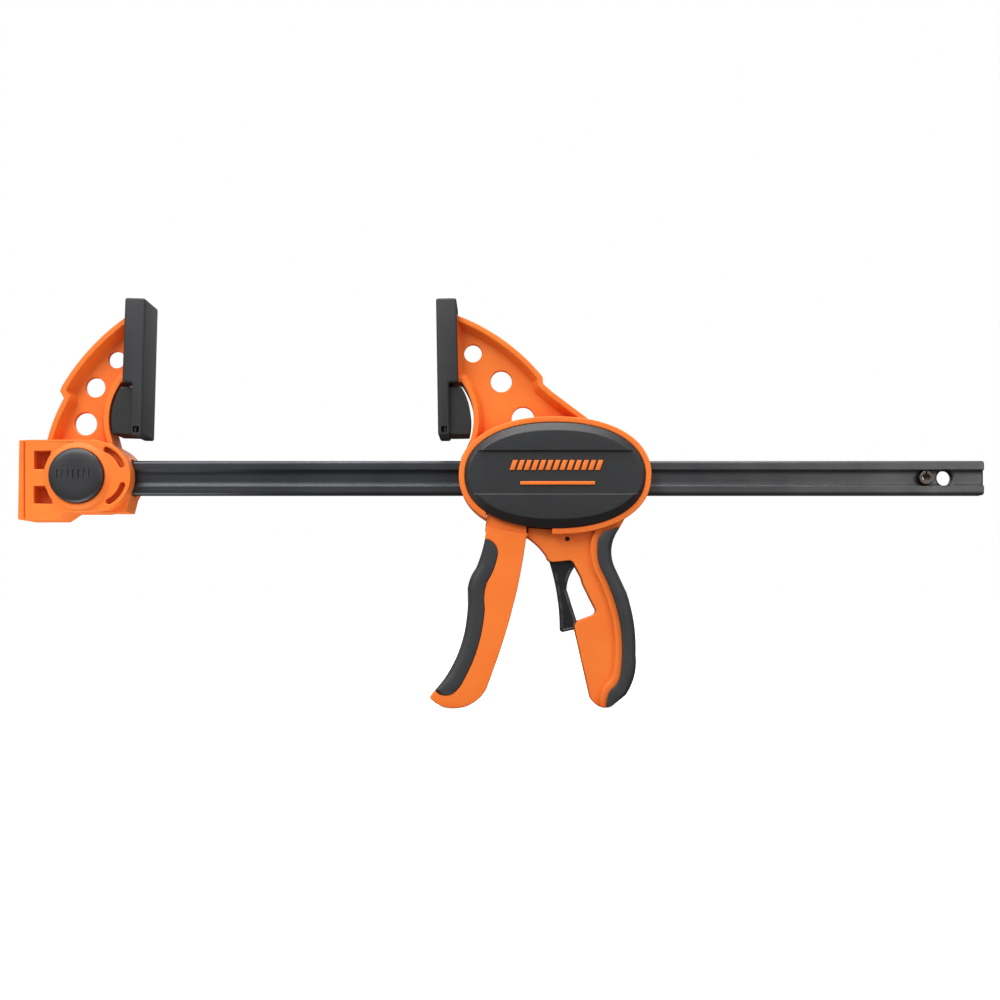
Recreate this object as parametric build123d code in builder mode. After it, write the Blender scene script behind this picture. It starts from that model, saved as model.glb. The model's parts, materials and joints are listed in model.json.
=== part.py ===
"""One-handed quick release bar clamp.

Frame (millimetres): X runs along the bar towards its free end, Z is up towards the jaw tips and
the front faces -Y. The origin is on the bar's centre line, under the fixed pad's clamping face.
Sizes called a setback are measured along X from a clamping face, into its own jaw.
"""
from build123d import *
from math import asin, cos, pi, radians, sin, tan
import os

# ---------------------------------------------------------------- driving dimensions (mm, degrees)
OPENING = 160.0             # between the clamping faces at rest, at mid height of the pads

BAR_LENGTH = 519.0
BAR_HEIGHT = 19.0
BAR_THICKNESS = 9.5         # across the flanges
BAR_FLANGE = 5.2            # height of each flange
BAR_WEB = 4.0
BAR_CORNER = 1.8
BAR_END_ROUND = 1.2
LOCK_HOLE_D = 8.4           # just inside the web, between the flanges
END_TO_LOCK = 21.5          # lock hole to the nearer bar end
LOCK_TO_STOP = 11.1         # lock hole to stop pin at the free end
STOP_PIN_D = 7.4
STOP_PIN_LENGTH = 12.4
STOP_PIN_WALL = 1.5
STOP_PIN_SPLIT = 0.8

SLIDE_GAP = 0.15            # bar in its bores
PIN_GAP = 0.06              # pin in a hole that turns on it
SEAT_GAP = 0.10             # parts that are pressed or moulded together
BODY_GAP = 0.30             # parts that move past each other

PAD_BOTTOM = 22.2           # above the bar's centre line
PAD_HEIGHT = 75.0
PAD_WIDTH = 28.0
PAD_WALL = 3.0              # soft wall over the hard foot
PAD_TOP_DEPTH = 11.2
PAD_DEPTH = 11.6            # at the notch above the foot's block
PAD_SKIRT_DEPTH = 6.2       # beside the foot's block
PAD_NOTCH = 51.0            # height of the notch
PAD_ROUND = 1.2
PAD_WINDOW_HEIGHT = 3.4     # slot in each side for the foot's lug
FIXED_TOE_IN = 1.6          # both jaws lean towards the work
MOVING_TOE_IN = 0.9

FOOT_WIDTH = 22.0
FOOT_PLATE = 3.2
FOOT_EAR_DEPTH = 5.0
FOOT_EAR_HEIGHT = 12.0
FOOT_PIN_D = 3.0
FOOT_PIN_SETBACK = 9.2
FOOT_PIN_HEIGHT = 66.0
FOOT_BLOCK_WIDTH = 21.0
FOOT_BLOCK_TOP = 49.0
FOOT_BLOCK_RADIUS = 33.3    # convex back of the block
FOOT_SWING_GAP = 1.6        # between that back and the jaw

ARM_THICKNESS = 18.0
ARM_WEB = 4.0
ARM_RIM = 2.9
ARM_SLOPE = 22.0            # lean of the wall between the rim and the web
NOSE_BOTTOM = 52.0
NOSE_TOP = 89.5
NOSE_RELIEF = 1.0           # the nose falls back from the foot's plate above and below its pin

LOCK_SETBACK = 35.5         # lock axis behind the fixed clamping face
LOCK_HEAD_TOP = 19.8
LOCK_HEAD_BOTTOM = 23.6
LOCK_HEAD_SHALLOW = 19.3    # bottom under the button
LOCK_HEAD_NOSE_R = 19.2
LOCK_HEAD_NOSE_SHIFT = 9.4  # centre of that round end, from the lock axis
LOCK_HEAD_BEHIND = 33.1     # left face behind the lock axis
SOCKET_END = -8.6           # where the bar leaves the jaw, from the clamping face
COLLAR_HEIGHT = 1.5
COLLAR_WIDTH = 3.6
BUTTON_D = 29.4
BUTTON_PROUD = 5.5
BUTTON_TRAVEL = 5.0
BUTTON_SKIRT = 8.0
BUTTON_ROOF = 2.5
BUTTON_WALL = 2.2
BUTTON_LEG = 3.0
BUTTON_LEG_WIDTH = 10.0
BUTTON_BEVEL = 1.4
LOCK_FLOOR = 2.0            # wall between the button's bore and the bar
YOKE_THICKNESS = 2.0
YOKE_FLOOR = 1.5            # wall between the bar and the yoke
YOKE_D = 28.4
LOCK_CAP_THICKNESS = 1.1
BUTTON_SPRING_D = 16.0
BUTTON_SPRING_WIRE = 1.1
BUTTON_SPRING_TURNS = 4

HOUSING_SETBACK = 64.5      # housing centre behind the moving clamping face
HOUSING_RISE = 0.6          # housing centre above the bar's centre line
COVER_LENGTH = 98.6
COVER_HEIGHT = 57.8
RIM_WALL = 3.3
HOUSING_THICKNESS = 27.0
COVER_EDGE = 2.5
COVER_RISE = 3.5
COVER_END_BEVEL = 2.8       # width of the cover's sloping border at its ends
COVER_SIDE_BEVEL = 4.7      # and along its long sides
COVER_WALL = 2.3
COVER_CHANNEL = 23.6
COVER_CHANNEL_RISE = 1.3
COVER_CHANNEL_DEPTH = 1.4
OVAL_POWER = 2.2            # 2 would be an ellipse, more is squarer
GUIDE_LENGTH = 13.2         # bar guide at each end of the housing

HANDLE_FACE = 15.6          # thickness of the handle's flat front half
HANDLE_BAND = 21.0          # thickness of the raised band beside the overmould
HANDLE_BAND_WIDTH = 3.4
HANDLE_GRIP = 26.0          # thickness over the overmould
GRIP_SKIN = 2.5             # soft overmould over its core
LEVER_THICKNESS = 25.0
LEVER_GRIP = 25.8           # thickness over its overmould
LEVER_NECK = 21.4
LEVER_CHEEK_GAP = 16.4
LEVER_PIN_D = 5.0
LEVER_PIN_LENGTH = 25.6
LEVER_PIN_SETBACK = 46.0
LEVER_PIN_INSET = 11.0      # below the top of the cover
LEVER_HUB_D = 9.0
LEVER_BRIDGE = 4.4          # thickness of the bridge that pushes the drive plates
LEVER_OPENING_START = 26.8  # gap in the housing's rim that the lever swings in
LEVER_OPENING_END = 62.8

PLATE_THICKNESS = 2.0
PLATE_COUNT = 2
PLATE_WIDTH = 15.0
DRIVE_SETBACK = 50.0
DRIVE_TOP = 14.0
DRIVE_BOTTOM = 16.5
DRIVE_SPRING_D = 25.0
DRIVE_SPRING_WIRE = 1.6
DRIVE_SPRING_TURNS = 5
PARTITION_SETBACK = 72.0
PARTITION_WALL = 3.0
BRAKE_SETBACK = 80.3
BRAKE_FULCRUM = 12.0        # below the bar's centre line
BRAKE_TILT = 7.0
BRAKE_TAIL = 12.5           # below the fulcrum
BRAKE_TAIL_WIDTH = 9.0
BRAKE_HEIGHT = 29.0         # above the fulcrum
BRAKE_SPRING_INSET = 15.7   # below the top of the cover
BRAKE_SPRING_D = 6.4
BRAKE_SPRING_WIRE = 0.9
BRAKE_SPRING_TURNS = 8

TRIGGER_PIN_D = 2.4
TRIGGER_PIN_SETBACK = 71.4
TRIGGER_PIN_DROP = 33.8     # below the bar's centre line
TRIGGER_HUB_D = 9.0
TRIGGER_THICKNESS = 8.4
TRIGGER_SLOT = 9.2

SCREW_D = 3.0
SCREW_LENGTH = 20.0
SCREW_HEAD_D = 5.4
SCREW_HEAD = 2.0
POST_D = 6.2                # post of each cover round a screw
POST_INSETS = ((3.3, 14.5), (5.5, 8.9), (0.5, 12.7))  # from its guide and from the cover's edge

# ---------------------------------------------------------------- places worked out from them
FRONT_VIEW = Plane.XZ
HEAD_VIEW = Plane(origin=(OPENING, 0, 0), x_dir=(1, 0, 0), z_dir=(0, -1, 0))
BAR_START = -LOCK_SETBACK - END_TO_LOCK
FREE_LOCK_X = BAR_START + BAR_LENGTH - END_TO_LOCK
STOP_X = FREE_LOCK_X - LOCK_TO_STOP
BORE_HEIGHT = BAR_HEIGHT + 2 * SLIDE_GAP
BORE_THICKNESS = BAR_THICKNESS + 2 * SLIDE_GAP
PAD_TOP = PAD_BOTTOM + PAD_HEIGHT
PAD_MIDDLE = PAD_BOTTOM + PAD_HEIGHT / 2
POCKET_BOTTOM = PAD_BOTTOM + PAD_WALL / 2
POCKET_TOP = PAD_TOP - PAD_WALL
PLATE_FRONT = PAD_WALL + SEAT_GAP
PLATE_BACK = PLATE_FRONT + FOOT_PLATE
FOOT_ARC_CENTRE = (-15.4, 31.8)
JAW_ARC_RADIUS = FOOT_BLOCK_RADIUS + FOOT_SWING_GAP
LOCK_FLOOR_Y = BORE_THICKNESS / 2 + LOCK_FLOOR
YOKE_FLOOR_Y = BORE_THICKNESS / 2 + YOKE_FLOOR
YOKE_Y = YOKE_FLOOR_Y + BODY_GAP
YOKE_ROOM = YOKE_THICKNESS + BUTTON_TRAVEL + 2 * SEAT_GAP
LOCK_HEAD_THICKNESS = 2 * (YOKE_Y + YOKE_ROOM + LOCK_CAP_THICKNESS)
BUTTON_FACE = LOCK_HEAD_THICKNESS / 2 + BUTTON_PROUD
COVER_FACE = HOUSING_THICKNESS / 2 + COVER_RISE
COVER_SEAT = HOUSING_THICKNESS / 2 - COVER_EDGE
COVER_ROOF = COVER_FACE - COVER_CHANNEL_DEPTH - COVER_WALL
HOUSING_START = HOUSING_SETBACK - COVER_LENGTH / 2 - RIM_WALL
HOUSING_END = HOUSING_SETBACK + COVER_LENGTH / 2 + RIM_WALL
GUIDE_FACE = HOUSING_END - RIM_WALL - GUIDE_LENGTH
COVER_TOP = HOUSING_RISE + COVER_HEIGHT / 2
COVER_BOTTOM = HOUSING_RISE - COVER_HEIGHT / 2
LEVER_PIN_HEIGHT = COVER_TOP - LEVER_PIN_INSET
BRAKE_SPRING_HEIGHT = COVER_TOP - BRAKE_SPRING_INSET
LEVER_PIN = (LEVER_PIN_SETBACK, LEVER_PIN_HEIGHT)
BRIDGE_TOP = BAR_HEIGHT / 2 + 3.1
TRIGGER_PIN = (TRIGGER_PIN_SETBACK, -TRIGGER_PIN_DROP)
FRONT_POST, TOP_POST, LOW_POST = POST_INSETS
SCREW_SPOTS = [
    (HOUSING_START + GUIDE_LENGTH + POST_D / 2 + FRONT_POST[0], COVER_TOP - FRONT_POST[1]),
    (GUIDE_FACE - POST_D / 2 - TOP_POST[0], COVER_TOP - TOP_POST[1]),
    (GUIDE_FACE - POST_D / 2 - LOW_POST[0], COVER_BOTTOM + LOW_POST[1]),
]
BEYOND = 100.0              # longer than anything that is cut through


def jaw_plane(face_x, side, toe_in):
    """Side view of a jaw: local x runs from the clamping face into the jaw, local y runs up it."""
    lean = radians(toe_in)
    up = Vector(-side * sin(lean), 0, cos(lean))
    inward = Vector(side * cos(lean), 0, sin(lean))
    foot_of_face = Vector(face_x, 0, PAD_MIDDLE) - up * PAD_MIDDLE
    return Plane(origin=foot_of_face, x_dir=inward, z_dir=inward.cross(up))


FIXED_JAW_VIEW = jaw_plane(0, -1, FIXED_TOE_IN)
MOVING_JAW_VIEW = jaw_plane(OPENING, 1, MOVING_TOE_IN)


def seen_in(view, jaw_view, spot):
    """A point of a jaw's own side view, in the coordinates of another side view."""
    moved = view.to_local_coords(jaw_view.from_local_coords(Vector(spot[0], spot[1], 0)))
    return (moved.X, moved.Y)


def on_foot_arc(radius, height):
    """The point at a height on an arc round the foot's arc centre."""
    turn = asin((height - FOOT_ARC_CENTRE[1]) / radius)
    return (FOOT_ARC_CENTRE[0] + radius * cos(turn), height)


def arcs(*spots):
    """Arcs end to end, each one through three of the points."""
    for start in range(0, len(spots) - 2, 2):
        ThreePointArc(*spots[start:start + 3])


def block(start, end, bottom, top, mode=Mode.ADD):
    """A rectangle of a side view, between two places along it and two heights."""
    with Locations(((start + end) / 2, (bottom + top) / 2)):
        Rectangle(end - start, top - bottom, mode=mode)


def oval_points(length, height, count=24):
    """Points of an oval a little squarer than an ellipse, about the housing's centre."""
    points = []
    for step in range(count):
        turn = 2 * pi * step / count
        along = abs(cos(turn)) ** (2 / OVAL_POWER)
        across = abs(sin(turn)) ** (2 / OVAL_POWER)
        x = length / 2 * (along if cos(turn) > 0 else -along)
        z = height / 2 * (across if sin(turn) > 0 else -across)
        points.append((HOUSING_SETBACK + x, HOUSING_RISE + z))
    return points


def oval_sketch(length, height):
    """A filled oval in the head's side view."""
    with BuildSketch(HEAD_VIEW) as oval:
        with BuildLine():
            Spline(*oval_points(length, height), periodic=True)
        make_face()
    return oval.sketch_local


COVER_OVAL = oval_sketch(COVER_LENGTH, COVER_HEIGHT)
CAVITY_OVAL = oval_sketch(COVER_LENGTH + 2 * SEAT_GAP, COVER_HEIGHT + 2 * SEAT_GAP)
RIM_OVAL = oval_sketch(COVER_LENGTH + 2 * RIM_WALL, COVER_HEIGHT + 2 * RIM_WALL)


def coil(start, axis, length, outer_d, wire, turns):
    """A coil spring whose wire stays inside its length, from a start point along an axis."""
    rise = length - wire
    low = Vector(*start) + Vector(*axis) * wire / 2
    with BuildPart() as spring:
        with BuildLine():
            path = Helix(rise / turns, rise, (outer_d - wire) / 2, center=low, direction=axis)
        with BuildSketch(Plane(origin=path @ 0, z_dir=path % 0)):
            Circle(wire / 2)
        sweep(path=path, is_frenet=True)
    return spring


# ---------------------------------------------------------------- bar
with BuildPart() as bar:
    with BuildSketch(Plane(origin=(BAR_START, 0, 0), x_dir=(0, 1, 0), z_dir=(1, 0, 0))):
        RectangleRounded(BAR_THICKNESS, BAR_HEIGHT, BAR_CORNER)
        with Locations((BAR_THICKNESS / 2, 0), (-BAR_THICKNESS / 2, 0)):
            groove = (BAR_THICKNESS - BAR_WEB, BAR_HEIGHT - 2 * BAR_FLANGE)
            Rectangle(*groove, mode=Mode.SUBTRACT)
    extrude(amount=BAR_LENGTH)
    with BuildSketch(FRONT_VIEW):
        with Locations((-LOCK_SETBACK, 0), (FREE_LOCK_X, 0)):
            Circle(LOCK_HOLE_D / 2)
        with Locations((STOP_X, 0)):
            Circle(STOP_PIN_D / 2 + SEAT_GAP / 2)
    extrude(amount=BAR_THICKNESS, both=True, mode=Mode.SUBTRACT)
    end_edges = bar.edges().filter_by(Axis.Y)
    fillet(end_edges.group_by(Axis.Z)[0] + end_edges.group_by(Axis.Z)[-1], BAR_END_ROUND)
bar.part.label = "bar"

with BuildPart() as stop_pin:
    with BuildSketch(FRONT_VIEW):
        with Locations((STOP_X, 0)):
            Circle(STOP_PIN_D / 2)
            Circle(STOP_PIN_D / 2 - STOP_PIN_WALL, mode=Mode.SUBTRACT)
        with Locations((STOP_X, STOP_PIN_D / 2)):
            Rectangle(STOP_PIN_SPLIT, STOP_PIN_D, mode=Mode.SUBTRACT)
    extrude(amount=STOP_PIN_LENGTH / 2, both=True)
stop_pin.part.label = "stop_pin"


# ---------------------------------------------------------------- pad, foot and pin of each jaw
def soft_pad(view, label):
    """A soft cap that covers the foot's plate and hides the jaw's nose."""
    window_bottom = POCKET_BOTTOM + SEAT_GAP
    with BuildPart() as pad:
        with BuildSketch(view):
            with BuildLine():
                Polyline(
                    (0, PAD_BOTTOM),
                    (0, PAD_TOP),
                    (PAD_TOP_DEPTH, PAD_TOP),
                    (PAD_DEPTH, PAD_NOTCH),
                    (PAD_SKIRT_DEPTH, PAD_NOTCH),
                    (PAD_SKIRT_DEPTH, PAD_BOTTOM),
                    close=True,
                )
            make_face()
        extrude(amount=PAD_WIDTH / 2, both=True)
        fillet(pad.edges(), PAD_ROUND)
        with BuildSketch(view):
            with BuildLine():
                Polyline(
                    (PAD_WALL, POCKET_BOTTOM),
                    (PAD_WALL, POCKET_TOP),
                    (2 * PAD_DEPTH, POCKET_TOP),
                    (2 * PAD_DEPTH, POCKET_BOTTOM),
                    close=True,
                )
            make_face()
        extrude(amount=FOOT_WIDTH / 2 + SEAT_GAP, both=True, mode=Mode.SUBTRACT)
        with BuildSketch(view):
            with Locations((PAD_SKIRT_DEPTH / 2, window_bottom + PAD_WINDOW_HEIGHT / 2)):
                Rectangle(PAD_SKIRT_DEPTH - 2 * PAD_ROUND, PAD_WINDOW_HEIGHT)
        extrude(amount=PAD_WIDTH, both=True, mode=Mode.SUBTRACT)
    pad.part.label = label
    return pad


def hard_foot(view, label):
    """A stiff plate behind the soft pad, with ears for the pin and a round-backed block below."""
    block_bottom = POCKET_BOTTOM - PAD_WALL / 4
    arc_top = on_foot_arc(FOOT_BLOCK_RADIUS, FOOT_BLOCK_TOP)
    arc_middle = on_foot_arc(FOOT_BLOCK_RADIUS, (FOOT_BLOCK_TOP + block_bottom) / 2)
    arc_bottom = on_foot_arc(FOOT_BLOCK_RADIUS, block_bottom)
    lug_bottom = POCKET_BOTTOM + 2 * SEAT_GAP
    lug_end = PAD_SKIRT_DEPTH - PAD_ROUND - SEAT_GAP
    with BuildPart() as foot:
        with BuildSketch(view):
            block(PLATE_FRONT, PLATE_BACK, POCKET_BOTTOM + SEAT_GAP, POCKET_TOP - SEAT_GAP)
            with Locations((PLATE_BACK + FOOT_EAR_DEPTH / 2, FOOT_PIN_HEIGHT)):
                Rectangle(FOOT_EAR_DEPTH, FOOT_EAR_HEIGHT)
        extrude(amount=FOOT_WIDTH / 2, both=True)
        with BuildSketch(view):
            block(PLATE_BACK, PLATE_BACK + PAD_DEPTH, POCKET_BOTTOM, POCKET_TOP)
        extrude(amount=ARM_THICKNESS / 2 + BODY_GAP, both=True, mode=Mode.SUBTRACT)
        with BuildSketch(view):
            with BuildLine():
                Line((PLATE_BACK, FOOT_BLOCK_TOP), arc_top)
                ThreePointArc(arc_top, arc_middle, arc_bottom)
                Polyline(arc_bottom, (PLATE_BACK, block_bottom), (PLATE_BACK, FOOT_BLOCK_TOP))
            make_face()
        extrude(amount=FOOT_BLOCK_WIDTH / 2, both=True)
        with BuildSketch(view):
            lug_top = lug_bottom + PAD_WINDOW_HEIGHT - 2 * SEAT_GAP
            block(PLATE_FRONT, lug_end, lug_bottom, lug_top)
        extrude(amount=PAD_WIDTH / 2 - PAD_ROUND, both=True)
        with BuildSketch(view):
            with Locations((FOOT_PIN_SETBACK, FOOT_PIN_HEIGHT)):
                Circle(FOOT_PIN_D / 2 + SEAT_GAP / 2)
        extrude(amount=FOOT_WIDTH, both=True, mode=Mode.SUBTRACT)
    foot.part.label = label
    return foot


def foot_pin(view, label):
    """The pin that the foot swivels on, under the soft pad."""
    with BuildPart() as pin:
        with BuildSketch(view):
            with Locations((FOOT_PIN_SETBACK, FOOT_PIN_HEIGHT)):
                Circle(FOOT_PIN_D / 2)
        extrude(amount=FOOT_WIDTH / 2 - SEAT_GAP, both=True)
    pin.part.label = label
    return pin


fixed_pad = soft_pad(FIXED_JAW_VIEW, "fixed_pad")
fixed_foot = hard_foot(FIXED_JAW_VIEW, "fixed_foot")
fixed_foot_pin = foot_pin(FIXED_JAW_VIEW, "fixed_foot_pin")
moving_pad = soft_pad(MOVING_JAW_VIEW, "moving_pad")
moving_foot = hard_foot(MOVING_JAW_VIEW, "moving_foot")
moving_foot_pin = foot_pin(MOVING_JAW_VIEW, "moving_foot_pin")


# ---------------------------------------------------------------- jaw arms
def nose_and_throat(view, jaw_view):
    """Front of a jaw's nose, then the round throat behind the foot's block, top to bottom."""
    front = PLATE_BACK + 2 * BODY_GAP
    throat_top = on_foot_arc(JAW_ARC_RADIUS, NOSE_BOTTOM)
    throat_middle = on_foot_arc(JAW_ARC_RADIUS, 36.0)
    throat_bottom = on_foot_arc(JAW_ARC_RADIUS, 20.5)
    nose = [
        (front + NOSE_RELIEF, NOSE_TOP),
        (front, FOOT_PIN_HEIGHT),
        (front + NOSE_RELIEF / 2, NOSE_BOTTOM),
        throat_top,
    ]
    nose = [seen_in(view, jaw_view, spot) for spot in nose]
    throat = [seen_in(view, jaw_view, spot) for spot in (throat_top, throat_middle, throat_bottom)]
    return nose, throat


def jaw_arm(view, jaw_view, outline, holes):
    """A jaw arm: a rim all round a thin web with lightening holes."""
    with BuildPart() as arm:
        with BuildSketch(view):
            add(outline)
        extrude(amount=ARM_THICKNESS / 2, both=True)
        for face in (1, -1):
            with BuildSketch(view.offset(face * ARM_THICKNESS / 2)):
                offset(outline, amount=-ARM_RIM)
            depth = (ARM_THICKNESS - ARM_WEB) / 2
            extrude(amount=-face * depth, taper=ARM_SLOPE, mode=Mode.SUBTRACT)
        for across, up, hole_radius in holes:
            with BuildSketch(view):
                with Locations((across, up)):
                    Circle(hole_radius)
            extrude(amount=ARM_THICKNESS, both=True, mode=Mode.SUBTRACT)
        with BuildSketch(jaw_view):
            with Locations((FOOT_PIN_SETBACK, FOOT_PIN_HEIGHT)):
                Circle(FOOT_PIN_D / 2 + PIN_GAP)
        extrude(amount=ARM_THICKNESS, both=True, mode=Mode.SUBTRACT)
    return arm.part


# ---------------------------------------------------------------- fixed jaw and its lock
FIXED_HOLES = [(-18.1, 65.7, 4.7), (-29.9, 50.3, 5.5), (-35.3, 30.1, 6.3)]

with BuildSketch(FRONT_VIEW) as fixed_arm_shape:
    nose, throat = nose_and_throat(FRONT_VIEW, FIXED_JAW_VIEW)
    with BuildLine():
        Polyline(*nose)
        ThreePointArc(*throat)
        Polyline(throat[2], (-17.6, 16.8), (-22.0, 4.0), (-54.0, 4.0), (-54.2, 20.6))
        ThreePointArc((-54.2, 20.6), (-50.2, 32.8), (-45.1, 43.4))
        Polyline((-45.1, 43.4), (-47.3, 47.4), (-45.7, 50.8))
        ThreePointArc((-45.7, 50.8), (-29.3, 72.2), (-10.6, 88.2))
        Line((-10.6, 88.2), nose[0])
    make_face()

with BuildSketch(FRONT_VIEW) as lock_head_shape:
    nose_x = -LOCK_SETBACK + LOCK_HEAD_NOSE_SHIFT
    nose_reach = LOCK_HEAD_NOSE_R * cos(radians(70))
    nose_height = LOCK_HEAD_NOSE_R * sin(radians(70))
    left_x = -LOCK_SETBACK - LOCK_HEAD_BEHIND
    with BuildLine():
        ThreePointArc(
            (nose_x + nose_reach, nose_height),
            (nose_x + LOCK_HEAD_NOSE_R, 0),
            (nose_x + nose_reach, -nose_height),
        )
        Polyline(
            (nose_x + nose_reach, -nose_height),
            (nose_x + 1, -LOCK_HEAD_SHALLOW),
            (-LOCK_SETBACK - 6.9, -LOCK_HEAD_SHALLOW),
            (-LOCK_SETBACK - 13.3, -LOCK_HEAD_BOTTOM),
            (left_x, -LOCK_HEAD_BOTTOM),
            (left_x + 0.7, LOCK_HEAD_TOP),
            (nose_x, LOCK_HEAD_TOP),
            (nose_x + nose_reach, nose_height),
        )
    make_face()

with BuildSketch(FRONT_VIEW) as socket_shape:
    with BuildLine():
        Polyline(
            (-30.0, 12.0),
            (-18.6, 20.5),
            (-17.6, 16.8),
            (-12.4, 13.3),
            (SOCKET_END, 9.8),
            (SOCKET_END, -10.5),
            (SOCKET_END - 0.6, -13.0),
            (SOCKET_END - 2.2, -LOCK_HEAD_SHALLOW),
            (-30.0, -LOCK_HEAD_SHALLOW),
            close=True,
        )
    make_face()

with BuildPart() as fixed_jaw:
    add(jaw_arm(FRONT_VIEW, FIXED_JAW_VIEW, fixed_arm_shape.sketch_local, FIXED_HOLES))
    with BuildSketch(FRONT_VIEW):
        add(socket_shape.sketch_local)
    extrude(amount=ARM_THICKNESS / 2, both=True)
    with BuildSketch(FRONT_VIEW):
        add(lock_head_shape.sketch_local)
    extrude(amount=LOCK_HEAD_THICKNESS / 2, both=True)
    head_front = FRONT_VIEW.offset(LOCK_HEAD_THICKNESS / 2)
    with BuildSketch(head_front):
        with Locations((-LOCK_SETBACK, 0)):
            Circle(BUTTON_D / 2 + COLLAR_WIDTH)
    with BuildSketch(head_front.offset(COLLAR_HEIGHT)):
        with Locations((-LOCK_SETBACK, 0)):
            Circle(BUTTON_D / 2 + COLLAR_WIDTH / 3)
    loft()
    # strip and groove down the left end
    with BuildSketch(head_front.offset(-1.2)):
        with Locations((left_x + 2.2, 0)):
            Rectangle(4.6, BEYOND)
    extrude(amount=BEYOND, mode=Mode.SUBTRACT)
    with BuildSketch(head_front.offset(-2.0)):
        with Locations((left_x + 3.9, 0)):
            Rectangle(1.2, BEYOND)
    extrude(amount=BEYOND, mode=Mode.SUBTRACT)
    # two pockets beside the button
    with BuildSketch(head_front.offset(-8.5)):
        with BuildLine():
            Polyline((-59.4, 13.8), (-49.9, 13.8), (-54.0, 3.8), (-59.4, 3.8), close=True)
        make_face()
        with BuildLine():
            Polyline((-59.6, -5.3), (-53.6, -5.3), (-49.2, -15.0), (-59.6, -15.0), close=True)
        make_face()
    extrude(amount=BEYOND, mode=Mode.SUBTRACT)
    # curved slots that follow the round end
    with BuildSketch(head_front.offset(-4.6)):
        for middle in (40, -45):
            SlotArc(
                CenterArc((nose_x, 0), LOCK_HEAD_NOSE_R - 3.6, middle - 22, 44),
                3.1,
            )
    extrude(amount=BEYOND, mode=Mode.SUBTRACT)
    # bores of the button, the legs, the lock pin and the yoke
    with BuildSketch(FRONT_VIEW.offset(LOCK_FLOOR_Y)):
        with Locations((-LOCK_SETBACK, 0)):
            Circle(BUTTON_D / 2 + SLIDE_GAP)
    extrude(amount=BEYOND, mode=Mode.SUBTRACT)
    leg_middle = BORE_HEIGHT / 2 + BODY_GAP + BUTTON_LEG / 2 + SLIDE_GAP
    with BuildSketch(FRONT_VIEW.offset(LOCK_FLOOR_Y + 1)):
        with Locations((-LOCK_SETBACK, leg_middle), (-LOCK_SETBACK, -leg_middle)):
            Rectangle(BUTTON_LEG_WIDTH + 2 * SLIDE_GAP, BUTTON_LEG + 2 * SLIDE_GAP)
        with Locations((-LOCK_SETBACK, 0)):
            Circle(LOCK_HOLE_D / 2)
    extrude(amount=-LOCK_HEAD_THICKNESS, mode=Mode.SUBTRACT)
    with BuildSketch(FRONT_VIEW.offset(-YOKE_FLOOR_Y)):
        with Locations((-LOCK_SETBACK, 0)):
            Circle(YOKE_D / 2 + SLIDE_GAP)
    extrude(amount=-BEYOND, mode=Mode.SUBTRACT)
    # socket of the bar
    with BuildSketch(Plane(origin=(BAR_START - SLIDE_GAP, 0, 0), x_dir=(0, 1, 0), z_dir=(1, 0, 0))):
        Rectangle(BORE_THICKNESS, BORE_HEIGHT)
    extrude(amount=BEYOND, mode=Mode.SUBTRACT)
fixed_jaw.part.label = "fixed_jaw"

with BuildPart() as push_button:
    with BuildSketch(FRONT_VIEW.offset(BUTTON_FACE - BUTTON_SKIRT)):
        with Locations((-LOCK_SETBACK, 0)):
            Circle(BUTTON_D / 2)
    extrude(amount=BUTTON_SKIRT)
    chamfer(push_button.edges().group_by(Axis.Y)[0], BUTTON_BEVEL)
    with BuildSketch(FRONT_VIEW.offset(BUTTON_FACE - BUTTON_ROOF)):
        with Locations((-LOCK_SETBACK, 0)):
            Circle(BUTTON_D / 2 - BUTTON_WALL)
    extrude(amount=-BEYOND, mode=Mode.SUBTRACT)
    with BuildSketch(FRONT_VIEW.offset(BUTTON_FACE - BUTTON_ROOF)):
        with Locations((-LOCK_SETBACK, leg_middle), (-LOCK_SETBACK, -leg_middle)):
            Rectangle(BUTTON_LEG_WIDTH, BUTTON_LEG)
    extrude(amount=-(BUTTON_FACE - BUTTON_ROOF + YOKE_Y - SEAT_GAP))
push_button.part.label = "push_button"

with BuildPart() as lock_yoke:
    with BuildSketch(FRONT_VIEW.offset(-YOKE_Y)):
        with Locations((-LOCK_SETBACK, 0)):
            Circle(YOKE_D / 2)
            Circle(LOCK_HOLE_D / 2 - 2 * SLIDE_GAP + SEAT_GAP / 2, mode=Mode.SUBTRACT)
    extrude(amount=-YOKE_THICKNESS)
lock_yoke.part.label = "lock_yoke"

with BuildPart() as lock_pin:
    with BuildSketch(FRONT_VIEW.offset(BAR_WEB / 2)):
        with Locations((-LOCK_SETBACK, 0)):
            Circle(LOCK_HOLE_D / 2 - 2 * SLIDE_GAP)
    extrude(amount=-(BAR_WEB / 2 + YOKE_Y + YOKE_THICKNESS))
lock_pin.part.label = "lock_pin"

with BuildPart() as lock_cap:
    with BuildSketch(FRONT_VIEW.offset(-LOCK_HEAD_THICKNESS / 2)):
        with Locations((-LOCK_SETBACK, 0)):
            Circle(YOKE_D / 2 + SLIDE_GAP - SEAT_GAP)
    extrude(amount=LOCK_CAP_THICKNESS)
lock_cap.part.label = "lock_cap"

button_spring = coil(
    (-LOCK_SETBACK, -LOCK_FLOOR_Y - SEAT_GAP, 0),
    (0, -1, 0),
    BUTTON_FACE - BUTTON_ROOF - LOCK_FLOOR_Y - 2 * SEAT_GAP,
    BUTTON_SPRING_D,
    BUTTON_SPRING_WIRE,
    BUTTON_SPRING_TURNS,
)
button_spring.part.label = "button_spring"

# ---------------------------------------------------------------- moving head: body
MOVING_HOLES = [(19.4, 69.2, 4.9), (35.1, 53.6, 5.9), (47.2, 33.1, 6.3)]

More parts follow.
